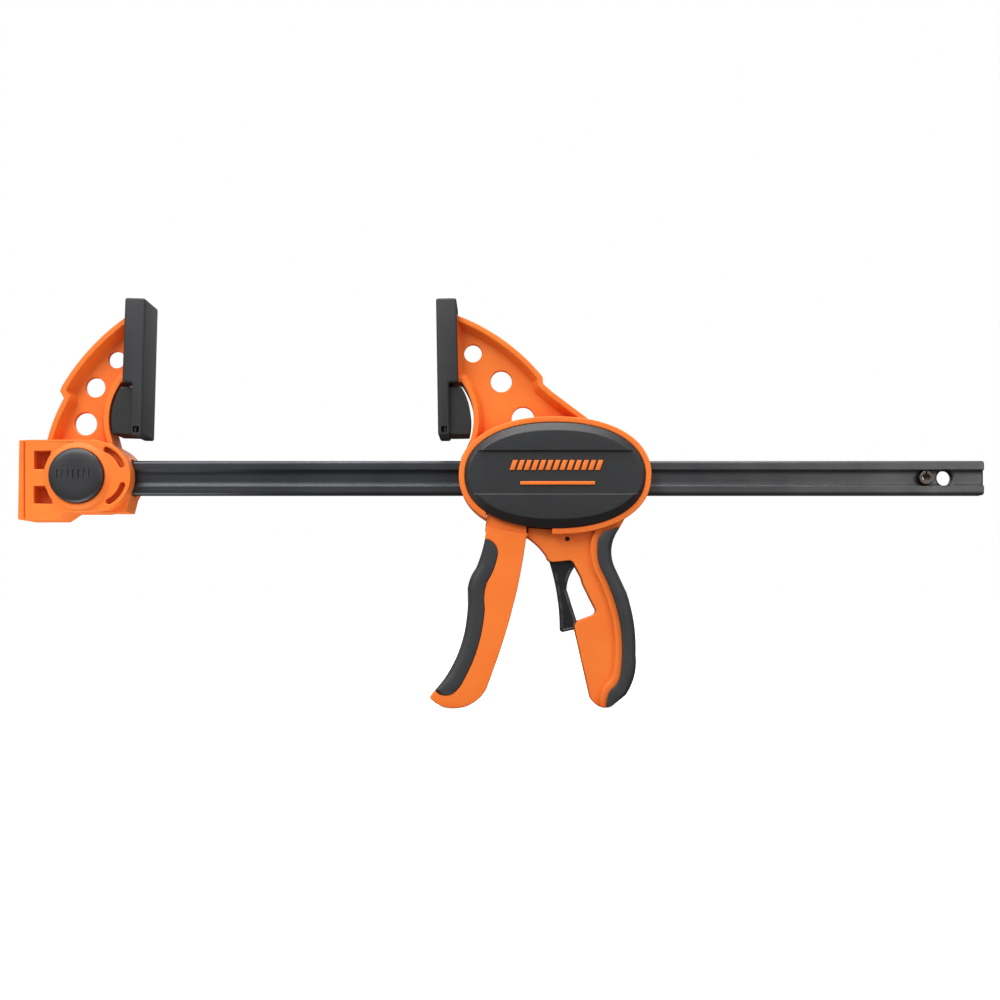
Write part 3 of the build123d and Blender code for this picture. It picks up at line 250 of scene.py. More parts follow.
# %% [markdown]
# ## Mixing colours
#
# Colours are picked on a screen as three numbers from 0 to 255. Light adds up in another,
# linear scale, so each pick is changed to that scale once, here.

# %% Screen colours
def screen_colour(red, green, blue):
    """A colour picked on a screen, as the linear colour that Blender mixes light with."""
    picked = [value / 255 for value in (red, green, blue)]
    mixed = [v / 12.92 if v <= 0.04045 else ((v + 0.055) / 1.055) ** 2.4 for v in picked]
    return (*mixed, 1.0)


# %% [markdown]
# ## Surface effects as node groups
#
# Every moulded part of the clamp has a few things in common: the fine grain that the mould's
# spark-eroded steel leaves, slow drifts of shade where the plastic cooled differently, and
# edges that hands and benches have rubbed, on which a paler colour also paints a highlight.
# Each effect is built once as a node group and then placed in each material with values of its
# own.

# %% A starter for node groups
def start_group(title, inputs, outputs):
    """An empty shader node group with named sockets, and its two end nodes."""
    group = bpy.data.node_groups.new(title, "ShaderNodeTree")
    for name, kind, value in inputs:
        socket = group.interface.new_socket(name, in_out="INPUT", socket_type=kind)
        socket.default_value = value
    for name, kind in outputs:
        group.interface.new_socket(name, in_out="OUTPUT", socket_type=kind)
    return group, group.nodes.new("NodeGroupInput"), group.nodes.new("NodeGroupOutput")


# %% [markdown]
# ### Mould grain
#
# Mould grain is a field of tiny soft bumps, a few tenths of a millimetre across. One noise
# gives the bumps and a finer one breaks them up. The group only puts out a height: each
# material feeds it to a Bump node, where the depth is chosen.

# %% Mould grain
mould_grain, ends, out = start_group(
    "mould grain",
    [("Bumps per Metre", "NodeSocketFloat", 2600.0)],
    [("Height", "NodeSocketFloat")],
)
nodes, links = mould_grain.nodes, mould_grain.links
where = nodes.new("ShaderNodeTexCoord").outputs["Object"]
bumps = nodes.new("ShaderNodeTexNoise")
bumps.inputs["Detail"].default_value = 2.0
fine = nodes.new("ShaderNodeTexVoronoi")
blend = nodes.new("ShaderNodeMix")
blend.inputs["Factor"].default_value = 0.35
links.new(where, bumps.inputs["Vector"])
links.new(where, fine.inputs["Vector"])
links.new(ends.outputs["Bumps per Metre"], bumps.inputs["Scale"])
links.new(times(mould_grain, ends.outputs["Bumps per Metre"], 1.7), fine.inputs["Scale"])
links.new(bumps.outputs["Fac"], blend.inputs["A"])
links.new(fine.outputs["Distance"], blend.inputs["B"])
links.new(blend.outputs["Result"], out.inputs["Height"])
print("made", mould_grain.name)

# %% [markdown]
# ### Drift of shade
#
# Coloured plastic is never one flat colour. Over a few centimetres it drifts between two close
# shades. A large soft noise mixes them.

# %% Drift of shade
shade_drift, ends, out = start_group(
    "drift of shade",
    [
        ("Colour", "NodeSocketColor", (0.5, 0.5, 0.5, 1)),
        ("Deeper Colour", "NodeSocketColor", (0.4, 0.4, 0.4, 1)),
        ("Patches per Metre", "NodeSocketFloat", 28.0),
    ],
    [("Colour", "NodeSocketColor")],
)
nodes, links = shade_drift.nodes, shade_drift.links
patches = nodes.new("ShaderNodeTexNoise")
patches.inputs["Detail"].default_value = 3.0
mixed = nodes.new("ShaderNodeMix")
mixed.data_type = "RGBA"
links.new(nodes.new("ShaderNodeTexCoord").outputs["Object"], patches.inputs["Vector"])
links.new(ends.outputs["Patches per Metre"], patches.inputs["Scale"])
links.new(rescale(shade_drift, patches.outputs["Fac"], 0.3, 0.7), mixed.inputs["Factor"])
links.new(ends.outputs["Colour"], mixed.inputs["A"])
links.new(ends.outputs["Deeper Colour"], mixed.inputs["B"])
links.new(mixed.outputs["Result"], out.inputs["Colour"])
print("made", shade_drift.name)

# %% [markdown]
# ### Rubbed edges with a painted highlight
#
# Outer edges are where a tool meets hands, benches and other tools. The Bevel node tells how
# far the surface turns away within a short reach: where its rounded normal differs from the
# true one there is an edge. Noise breaks the line up, because wear is never even. The paler
# colour that each material lays on this mask is partly wear and partly a painted highlight on
# the rounded edge.

# %% Rubbed edges and painted highlight
rubbed_and_highlit_edges, ends, out = start_group(
    "rubbed edges and painted highlight",
    [("Reach", "NodeSocketFloat", 0.001), ("Uneven per Metre", "NodeSocketFloat", 180.0)],
    [("Mask", "NodeSocketFloat")],
)
nodes, links = rubbed_and_highlit_edges.nodes, rubbed_and_highlit_edges.links
rounded = nodes.new("ShaderNodeBevel")
rounded.samples = 6
true_face = nodes.new("ShaderNodeNewGeometry")
agree = nodes.new("ShaderNodeVectorMath")
agree.operation = "DOT_PRODUCT"
uneven = nodes.new("ShaderNodeTexNoise")
uneven.inputs["Detail"].default_value = 4.0
links.new(ends.outputs["Reach"], rounded.inputs["Radius"])
links.new(rounded.outputs["Normal"], agree.inputs[0])
links.new(true_face.outputs["Normal"], agree.inputs[1])
links.new(nodes.new("ShaderNodeTexCoord").outputs["Object"], uneven.inputs["Vector"])
links.new(ends.outputs["Uneven per Metre"], uneven.inputs["Scale"])
turned = rescale(rubbed_and_highlit_edges, agree.outputs["Value"], 0.995, 0.86)
patchy = rescale(rubbed_and_highlit_edges, uneven.outputs["Fac"], 0.35, 0.65)
links.new(times(rubbed_and_highlit_edges, turned, patchy), out.inputs["Mask"])
print("made", rubbed_and_highlit_edges.name)

# %% [markdown]
# ### Painted shade in deep corners
#
# Light that enters a pocket in orange plastic bounces from wall to wall and comes out redder.
# An ambient occlusion node measures how shut in a spot is, and the mask is 1 in the deepest
# corners. The orange material paints a redder, darker colour there: a painted shade.

# %% Deep corners
deep_corners, ends, out = start_group(
    "deep corners",
    [("Reach", "NodeSocketFloat", 0.008)],
    [("Mask", "NodeSocketFloat")],
)
nodes, links = deep_corners.nodes, deep_corners.links
shut_in = nodes.new("ShaderNodeAmbientOcclusion")
shut_in.samples = 8
links.new(ends.outputs["Reach"], shut_in.inputs["Distance"])
links.new(rescale(deep_corners, shut_in.outputs["AO"], 0.85, 0.25), out.inputs["Mask"])
print("made", deep_corners.name)

# %% [markdown]
# ### Drawn lines
#
# Steel bar is pulled through a die, which leaves long faint lines in one direction. A noise
# that is stretched by a Mapping node gives them: few changes along the bar, many across it.

# %% Drawn lines
drawn_lines, ends, out = start_group(
    "drawn lines",
    [("Stretch", "NodeSocketVector", (6.0, 1400.0, 1400.0))],
    [("Lines", "NodeSocketFloat")],
)
nodes, links = drawn_lines.nodes, drawn_lines.links
stretched = nodes.new("ShaderNodeMapping")
strokes = nodes.new("ShaderNodeTexNoise")
strokes.inputs["Scale"].default_value = 1.0
strokes.inputs["Detail"].default_value = 4.0
links.new(nodes.new("ShaderNodeTexCoord").outputs["Object"], stretched.inputs["Vector"])
links.new(ends.outputs["Stretch"], stretched.inputs["Scale"])
links.new(stretched.outputs["Vector"], strokes.inputs["Vector"])
links.new(strokes.outputs["Fac"], out.inputs["Lines"])
print("made", drawn_lines.name)

# %% [markdown]
# ## Materials
#
# Each material starts from the same few steps: a Principled shader, a base colour that drifts,
# a paler colour on the edges that stands for wear and paints a highlight, a roughness that isn't
# even, and a bump from the grain. One helper lays these out, and each finish then says how
# strong they are.

# %% A moulded finish
def add_group(tree, group, values):
    """Places a node group in a material with its own values."""
    node = tree.nodes.new("ShaderNodeGroup")
    node.node_tree = group
    for name, value in values.items():
        node.inputs[name].default_value = value
    return node


def mix_in(tree, factor, share, base, colour):
    """Mixes a plain colour over a base where a mask is high. share is the most that shows."""
    mixed = tree.nodes.new("ShaderNodeMix")
    mixed.data_type = "RGBA"
    mixed.inputs["B"].default_value = colour
    tree.links.new(times(tree, factor, share), mixed.inputs["Factor"])
    tree.links.new(base, mixed.inputs["A"])
    return mixed.outputs["Result"]


def moulded(name, colour, deeper, edge, edge_share, grain, grain_depth, rough):
    """Moulded plastic or rubber. rough is the lowest and the highest roughness."""
    material = bpy.data.materials.new(name)
    material.use_nodes = True
    tree = material.node_tree
    surface = tree.nodes["Principled BSDF"]
    drift = add_group(tree, shade_drift, {"Colour": colour, "Deeper Colour": deeper})
    # the edge colour laid on this mask is wear and a painted highlight
    edges = add_group(tree, rubbed_and_highlit_edges, {"Reach": 0.9 * MM})
    result = mix_in(tree, edges.outputs["Mask"], edge_share, drift.outputs["Colour"], edge)
    tree.links.new(result, surface.inputs["Base Color"])
    skin = add_group(tree, mould_grain, {"Bumps per Metre": grain})
    bump = tree.nodes.new("ShaderNodeBump")
    bump.inputs["Strength"].default_value = 1.0
    bump.inputs["Distance"].default_value = grain_depth
    tree.links.new(skin.outputs["Height"], bump.inputs["Height"])
    tree.links.new(bump.outputs["Normal"], surface.inputs["Normal"])
    shine = rescale(tree, skin.outputs["Height"], 0, 1, *rough)
    tree.links.new(shine, surface.inputs["Roughness"])
    return material, tree, surface, result


# %% [markdown]
# ### Orange nylon
#
# The jaws, the body and the lever are glass-filled nylon, dyed right through. It has a satin
# skin, a paler line on its edges that is partly wear and partly a painted highlight, and a
# painted redder shade in its pockets.

# %% Orange nylon
orange_nylon, tree, surface, skin_colour = moulded(
    "orange nylon",
    colour=screen_colour(231, 119, 45),
    deeper=screen_colour(226, 109, 38),
    edge=screen_colour(248, 158, 82),
    edge_share=0.65,
    grain=2600.0,
    grain_depth=0.025 * MM,
    rough=(0.42, 0.56),
)
surface.inputs["Specular IOR Level"].default_value = 0.22
# painted shade: a redder, darker colour in the pockets and corners
pockets = add_group(tree, deep_corners, {"Reach": 9 * MM})
painted_pocket_shade = screen_colour(206, 62, 22)
warm = mix_in(tree, pockets.outputs["Mask"], share=0.52, base=skin_colour, colour=painted_pocket_shade)
tree.links.new(warm, surface.inputs["Base Color"])
print("made", orange_nylon.name)

# %% [markdown]
# ### Black plastics and soft rubber
#
# The cover, the button and the trigger are black nylon, the feet have a coarser skin, and the
# pads and grips are a soft rubber that shines less. All are charcoal rather than black: pure
# black would lose every edge.

# %% Black plastics
black_nylon = moulded(
    "black nylon",
    colour=screen_colour(34, 35, 37),
    deeper=screen_colour(27, 28, 30),
    edge=screen_colour(78, 80, 84),
    edge_share=0.4,
    grain=1500.0,
    grain_depth=0.07 * MM,
    rough=(0.42, 0.58),
)[0]
coarse_black = moulded(
    "coarse black nylon",
    colour=screen_colour(22, 22, 23),
    deeper=screen_colour(15, 15, 16),
    edge=screen_colour(60, 60, 62),
    edge_share=0.4,
    grain=1050.0,
    grain_depth=0.2 * MM,
    rough=(0.5, 0.68),
)[0]
button_black = moulded(
    "button black nylon",
    colour=screen_colour(38, 38, 41),
    deeper=screen_colour(31, 31, 34),
    edge=screen_colour(84, 85, 90),
    edge_share=0.4,
    grain=1500.0,
    grain_depth=0.05 * MM,
    rough=(0.36, 0.5),
)[0]
trigger_black = moulded(
    "trigger black",
    colour=screen_colour(25, 25, 26),
    deeper=screen_colour(12, 12, 13),
    # a strong pale edge colour: mostly a painted highlight along the trigger's edges
    edge=screen_colour(128, 128, 132),
    edge_share=0.85,
    grain=1100.0,
    grain_depth=0.16 * MM,
    rough=(0.26, 0.44),
)[0]
pad_rubber = moulded(
    "pad rubber",
    colour=screen_colour(39, 40, 43),
    deeper=screen_colour(31, 32, 35),
    edge=screen_colour(78, 80, 84),
    edge_share=0.3,
    grain=1300.0,
    grain_depth=0.11 * MM,
    rough=(0.58, 0.74),
)[0]
grip_rubber = moulded(
    "grip rubber",
    colour=screen_colour(46, 47, 49),
    deeper=screen_colour(33, 34, 36),
    edge=screen_colour(84, 86, 90),
    edge_share=0.3,
    grain=1900.0,
    grain_depth=0.07 * MM,
    rough=(0.5, 0.66),
)[0]
blacks = (black_nylon, coarse_black, button_black, trigger_black, pad_rubber, grip_rubber)
print("made", [material.name for material in blacks])

# %% [markdown]
# ### Steels
#
# The bar is blackened: a thin dark oxide over steel, with a satin shine, long drawn lines and
# a paler, faintly brown cast painted towards its free end, where the light on it is brighter.
# The pins are dull and a little brown, the plates and springs are bare. Metal is a shader with
# Metallic near 1, whose colour is the colour of its reflection.
#
# The bar's flanges are rolled, with wide soft corners. A modifier could round them, but the
# lock's hole nearly touches the flanges and its rim would be pulled apart. A Bevel node bends
# only the shading: the upper corner then mirrors the lamps and the lower one the dark below.

# %% A steel finish
def steel(name, colour, deeper, edge, edge_share, stretch, line_depth, rough, metallic, soft):
    """Steel with lines along one direction. soft rounds its corners, in the shading alone."""
    material = bpy.data.materials.new(name)
    material.use_nodes = True
    tree = material.node_tree
    surface = tree.nodes["Principled BSDF"]
    surface.inputs["Metallic"].default_value = metallic
    values = {"Colour": colour, "Deeper Colour": deeper, "Patches per Metre": 22.0}
    drift = add_group(tree, shade_drift, values)
    # the edge colour laid on this mask is wear and a painted highlight
    edges = add_group(tree, rubbed_and_highlit_edges, {"Reach": 0.7 * MM, "Uneven per Metre": 260.0})
    result = mix_in(tree, edges.outputs["Mask"], edge_share, drift.outputs["Colour"], edge)
    tree.links.new(result, surface.inputs["Base Color"])
    lines = add_group(tree, drawn_lines, {"Stretch": stretch})
    shine = rescale(tree, lines.outputs["Lines"], 0.3, 0.7, *rough)
    tree.links.new(shine, surface.inputs["Roughness"])
    bump = tree.nodes.new("ShaderNodeBump")
    bump.inputs["Strength"].default_value = 1.0
    bump.inputs["Distance"].default_value = line_depth
    tree.links.new(lines.outputs["Lines"], bump.inputs["Height"])
    corners = tree.nodes.new("ShaderNodeBevel")
    corners.samples = 8
    corners.inputs["Radius"].default_value = soft
    tree.links.new(corners.outputs["Normal"], bump.inputs["Normal"])
    tree.links.new(bump.outputs["Normal"], surface.inputs["Normal"])
    return material, tree, surface, result


blackened_bar, tree, surface, skin_colour = steel(
    "blackened bar",
    colour=screen_colour(70, 72, 76),
    deeper=screen_colour(58, 60, 63),
    edge=screen_colour(100, 102, 105),
    edge_share=0.5,
    stretch=(7.0, 1500.0, 1500.0),
    line_depth=0.02 * MM,
    rough=(0.32, 0.46),
    metallic=0.7,
    soft=0.9 * MM,
)
pin_steel = steel(
    "pin steel",
    colour=screen_colour(102, 95, 91),
    deeper=screen_colour(84, 66, 56),
    edge=screen_colour(146, 139, 133),
    edge_share=0.6,
    stretch=(900.0, 60.0, 900.0),
    line_depth=0.02 * MM,
    rough=(0.28, 0.45),
    metallic=1.0,
    soft=0.25 * MM,
)[0]
plate_steel = steel(
    "plate steel",
    colour=screen_colour(150, 150, 152),
    deeper=screen_colour(118, 114, 110),
    edge=screen_colour(200, 200, 200),
    edge_share=0.6,
    stretch=(900.0, 60.0, 900.0),
    line_depth=0.02 * MM,
    rough=(0.30, 0.48),
    metallic=1.0,
    soft=0.25 * MM,
)[0]
spring_steel = steel(
    "spring steel",
    colour=screen_colour(140, 142, 148),
    deeper=screen_colour(104, 104, 110),
    edge=screen_colour(190, 190, 194),
    edge_share=0.4,
    stretch=(500.0, 500.0, 500.0),
    line_depth=0.01 * MM,
    rough=(0.25, 0.40),
    metallic=1.0,
    soft=0.25 * MM,
)[0]
dark_pin = steel(
    "dark pin steel",
    colour=screen_colour(58, 58, 60),
    deeper=screen_colour(40, 39, 38),
    edge=screen_colour(110, 108, 104),
    edge_share=0.5,
    stretch=(900.0, 60.0, 900.0),
    line_depth=0.02 * MM,
    rough=(0.3, 0.45),
    metallic=0.9,
    soft=0.25 * MM,
)[0]
steels = (blackened_bar, pin_steel, plate_steel, spring_steel, dark_pin)
print("made", [material.name for material in steels])

# %% [markdown]
# ### The bar's groove
#
# In the groove the web meets the flanges in still wider rounds, so the light climbs slowly from
# a dark top to a bright bottom. A second Bevel node with a larger radius gives that, and a mask
# on the height above the bar's middle keeps it between the flanges.

# %% Wide rounds in the groove
GROOVE_EDGE = (4.4 * MM, 4.2 * MM)          # where the mask starts, and where it is full
GROOVE_ROUND = 3.6 * MM
where = tree.nodes.new("ShaderNodeTexCoord").outputs["Object"]
place = tree.nodes.new("ShaderNodeSeparateXYZ")
from_middle = tree.nodes.new("ShaderNodeMath")
from_middle.operation = "ABSOLUTE"
wide = tree.nodes.new("ShaderNodeBevel")
wide.samples = 10
wide.inputs["Radius"].default_value = GROOVE_ROUND
either = tree.nodes.new("ShaderNodeMix")
either.data_type = "VECTOR"
tree.links.new(where, place.inputs["Vector"])
tree.links.new(place.outputs["Z"], from_middle.inputs[0])
in_groove = rescale(tree, from_middle.outputs["Value"], *GROOVE_EDGE)
tree.links.new(in_groove, either.inputs["Factor"])
tree.links.new(tree.nodes["Bevel"].outputs["Normal"], either.inputs["A"])
tree.links.new(wide.outputs["Normal"], either.inputs["B"])
tree.links.new(either.outputs["Result"], tree.nodes["Bump"].inputs["Normal"])
print("widened the rounds in the groove of", blackened_bar.name)

# %% [markdown]
# ### Painted light on the bar's free end
#
# Towards its free end the bar is painted paler and faintly brown, a painted light that stands
# for the brighter light on that end. It is one more colour over the bar's own, in a mask that
# grows along X and is broken up by a noise.

# %% Paler free end
PALER_END_EDGE = (200 * MM, 420 * MM)             # along X, where it starts and where it is full
blotches = tree.nodes.new("ShaderNodeTexNoise")
blotches.inputs["Scale"].default_value = 55.0
blotches.inputs["Detail"].default_value = 3.0
tree.links.new(where, blotches.inputs["Vector"])
# painted light: the bar grows paler towards its free end
near_end = rescale(tree, place.outputs["X"], *PALER_END_EDGE)
paler_end_mask = times(tree, near_end, blotches.outputs["Fac"])
paler_end_colour = screen_colour(122, 118, 116)
painted_paler_end = mix_in(tree, paler_end_mask, share=0.7, base=skin_colour, colour=paler_end_colour)
tree.links.new(painted_paler_end, surface.inputs["Base Color"])
print("painted_paler_end", blackened_bar.name)

# %% [markdown]
# ### Painted shadows round the pin and the hole
#
# Round the foot of the stop pin and round the punched hole beside it, a dark rim of shadow is
# painted. A mask that fades with the distance from each centre lays a dark colour over the
# bar's own, right through the web, so the wall of the hole gets the painted shade too.

# %% Painted shadow rims
PIN_TO_HOLE = 11.1 * MM
PIN_RIM, HOLE_RIM = 3.8 * MM, 4.3 * MM      # radii that are dark all through
RIM_FADE = 0.9 * MM
rim_shadow_colour = screen_colour(20, 18, 17)
corners_of_pin = [Vector(corner) for corner in NODES["stop_pin"].bound_box]
pin_middle = sum(corners_of_pin, Vector()) / len(corners_of_pin)
with_rim_shadows = painted_paler_end
for middle_x, radius in ((pin_middle.x, PIN_RIM), (pin_middle.x + PIN_TO_HOLE, HOLE_RIM)):
    flat = tree.nodes.new("ShaderNodeVectorMath")
    flat.operation = "MULTIPLY"
    flat.inputs[1].default_value = (1, 0, 1)
    away = tree.nodes.new("ShaderNodeVectorMath")
    away.operation = "DISTANCE"
    away.inputs[1].default_value = (middle_x, 0, pin_middle.z)
    tree.links.new(where, flat.inputs[0])
    tree.links.new(flat.outputs["Vector"], away.inputs[0])
    fade = rescale(tree, away.outputs["Value"], radius + RIM_FADE, radius)
    # painted shadow round the pin and in the hole
    with_rim_shadows = mix_in(tree, fade, share=0.85, base=with_rim_shadows, colour=rim_shadow_colour)
    print("dark rim at", round(middle_x * 1000, 1), "mm")
tree.links.new(with_rim_shadows, surface.inputs["Base Color"])

# %% [markdown]
# ## Dressing the solids
#
# A node of the model keeps its own shape and only gets its material, in the slots that it
# already has. The pads, the grips, the trigger, the button and the springs are dressed too,
# though each has a modelled piece in its place further down.

# %% Give each solid its material
FINISHES = {
    "bar": blackened_bar,
    "stop_pin": pin_steel,
    "fixed_jaw": orange_nylon,
    "push_button": black_nylon,
    "lock_yoke": plate_steel,
    "lock_pin": pin_steel,
    "lock_cap": black_nylon,
    "button_spring": spring_steel,
    "fixed_foot": coarse_black,
    "fixed_foot_pin": pin_steel,
    "moving_foot": coarse_black,
    "moving_foot_pin": pin_steel,
    "fixed_pad": pad_rubber,
    "moving_pad": pad_rubber,
    "head_body": orange_nylon,
    "handle_grip": grip_rubber,
    "lever_grip": grip_rubber,
    "front_cover": black_nylon,
    "rear_cover": black_nylon,
    "cover_screws": plate_steel,
    "squeeze_lever": orange_nylon,
    "lever_pin": pin_steel,
    "drive_plates": plate_steel,
    "drive_spring": spring_steel,
    "brake_plates": plate_steel,
    "brake_spring": spring_steel,
    "release_trigger": trigger_black,
    "trigger_pin": dark_pin,
}
for node_name, material in FINISHES.items():
    piece = NODES[node_name]
    if not piece.material_slots:
        piece.data.materials.append(material)
    for slot in piece.material_slots:
        slot.material = material
print("dressed", len(FINISHES), "pieces")

# %% [markdown]
# ## Rounded moulded edges
#
# No moulded edge is sharp: the mould's own corners are rounded, by half a millimetre or so,
# and that thin round is what catches the light. The solid arrives as loose triangles, so Weld
# joins them first, Bevel rounds every edge that turns by more than a set angle, and Weighted
# Normal keeps the flats flat in the shading. A flat of many triangles stands a bevel better
# than one face with a hundred corners, and with Loop Slide off the new corners keep an even
# distance from the edge.

# %% Round the edges of a solid
SAME_POINT = 0.01 * MM     # corners of triangles that lie this close are one corner


def round_edges(node_name, width):
    """Rounds the edges of a solid with modifiers, and leaves its own mesh as it was."""
    piece = NODES[node_name]
    join = piece.modifiers.new("join the triangles", "WELD")
    join.merge_threshold = SAME_POINT
    bevel = piece.modifiers.new("rounded edges", "BEVEL")
    bevel.width = width
    bevel.segments = 2
    bevel.limit_method = "ANGLE"
    bevel.angle_limit = radians(32)
    bevel.use_clamp_overlap = False
    bevel.loop_slide = False
    smooth = piece.modifiers.new("flat flats", "WEIGHTED_NORMAL")
    smooth.weight = 60


EDGE_ROUNDS = {
    "fixed_jaw": 0.4,
    "head_body": 0.55,
    "squeeze_lever": 0.6,
    "front_cover": 0.4,
    "rear_cover": 0.4,
    "fixed_foot": 0.4,
    "moving_foot": 0.4,
    "lock_cap": 0.25,
}
for node_name, width in EDGE_ROUNDS.items():
    round_edges(node_name, width * MM)
print("rounded the moulded edges of", len(EDGE_ROUNDS), "pieces")

# %% [markdown]
# ## Tools for the modelled pieces
#
# The soft pads, the grips and the button need more than a round edge, so they are modelled.
# Every operator works on whatever is selected. These helpers select one piece, or the faces and
# edges of it that pass a test on their place and direction, the way a click or a box select
# would by hand.

# %% Pick a piece, its faces or its edges
def only(piece):
    """Makes one piece the selected and active one."""
    bpy.ops.object.select_all(action="DESELECT")
    piece.select_set(True)
    bpy.context.view_layer.objects.active = piece


def edit(piece):
    """Opens one piece in edit mode."""
    only(piece)
    bpy.ops.object.mode_set(mode="EDIT")
    bpy.ops.mesh.select_mode(type="FACE")


def done():
    """Goes back to object mode."""
    bpy.ops.object.mode_set(mode="OBJECT")


def pick_faces(piece, wanted):
    """In edit mode, selects the faces that pass a test, and says how many did."""
    bpy.ops.mesh.select_mode(type="FACE")
    bpy.ops.mesh.select_all(action="DESELECT")
    shape = bmesh.from_edit_mesh(piece.data)
    chosen = [face for face in shape.faces if wanted(face)]
    for face in chosen:
        face.select_set(True)
    bmesh.update_edit_mesh(piece.data)
    return len(chosen)


def pick_edges(piece, wanted):
    """In edit mode, selects the edges that pass a test, and says how many did."""
    bpy.ops.mesh.select_mode(type="EDGE")
    bpy.ops.mesh.select_all(action="DESELECT")
    shape = bmesh.from_edit_mesh(piece.data)
    chosen = [edge for edge in shape.edges if len(edge.link_faces) == 2 and wanted(edge)]
    for edge in chosen:
        edge.select_set(True)
    bmesh.update_edit_mesh(piece.data)
    return len(chosen)


def box_piece(name, low, high):
    """A box between two corners, in millimetres, as the start of a piece."""
    bpy.ops.object.select_all(action="DESELECT")
    middle = [(a + b) / 2 * MM for a, b in zip(low, high)]
    bpy.ops.mesh.primitive_cube_add(size=1, location=middle)
    piece = bpy.context.object
    piece.name = name
    piece.scale = [(b - a) * MM for a, b in zip(low, high)]
    bpy.ops.object.transform_apply(location=True, rotation=True, scale=True)
    return piece


def cut(piece, cutter):
    """Takes a cutter's shape out of a piece, and throws the cutter away."""
    only(piece)
    boolean = piece.modifiers.new("cut", "BOOLEAN")
    boolean.operation = "DIFFERENCE"
    boolean.solver = "EXACT"
    boolean.object = cutter
    bpy.ops.object.modifier_apply(modifier=boolean.name)
    bpy.data.objects.remove(cutter)


def finish_piece(piece, body, material, smooth=35):
    """Gives a finished piece its smooth shading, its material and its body."""
    only(piece)
    bpy.ops.object.shade_smooth_by_angle(angle=radians(smooth))
    piece.data.materials.clear()
    piece.data.materials.append(material)
    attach(piece, body)
    bpy.ops.object.select_all(action="DESELECT")
    print(piece.name, "has", len(piece.data.polygons), "faces and rides on", body)


# %% [markdown]
# ## Soft pads
#
# Each jaw wears a rubber cap, pushed on from the front: a thick plate at the top, a thinner
# skirt below where the hard foot shows behind it, and a small slot in each side that snaps over
# the foot's lug. On the bench it would be cast in one go, open at the back. In Blender it grows
# the same way from one box. A bisect marks the notch, the upper back face is extruded, its top
# edge leans in, and all the edges are rounded together. Only then does the hollow for the foot
# come out, so that its rim can have a finer round of its own.

# %% Model a pad
PAD_FEET = 22.2          # heights are measured from the middle of the bar
PAD_HEAD = 97.2
PAD_NOTCH = 51.0
PAD_SKIRT = 6.2          # how thick it is below the notch
PAD_SHOULDER = 5.4       # how much thicker it is above
PAD_HALF_WIDTH = 14.0
PAD_PIVOT = 59.7         # it leans about the middle of its face
PAD_TOP_LEAN, PAD_ROUND, PAD_RIM_ROUND = 0.4, 1.3, 0.25
HOLLOW_FEET, HOLLOW_HEAD, HOLLOW_HALF_WIDTH = 23.7, 94.2, 11.1
FACE_WALL = 3.0          # rubber in front of the hollow
SLOT_NEAR, SLOT_FAR, SLOT_TOP = 1.7, 5.0, 27.2
SLOT_FLOOR = 10.6        # where the side slots start, from the middle
PAST_THE_BACK, PAST_THE_SIDE = 30, 20      # where the cutters end, well outside the pad


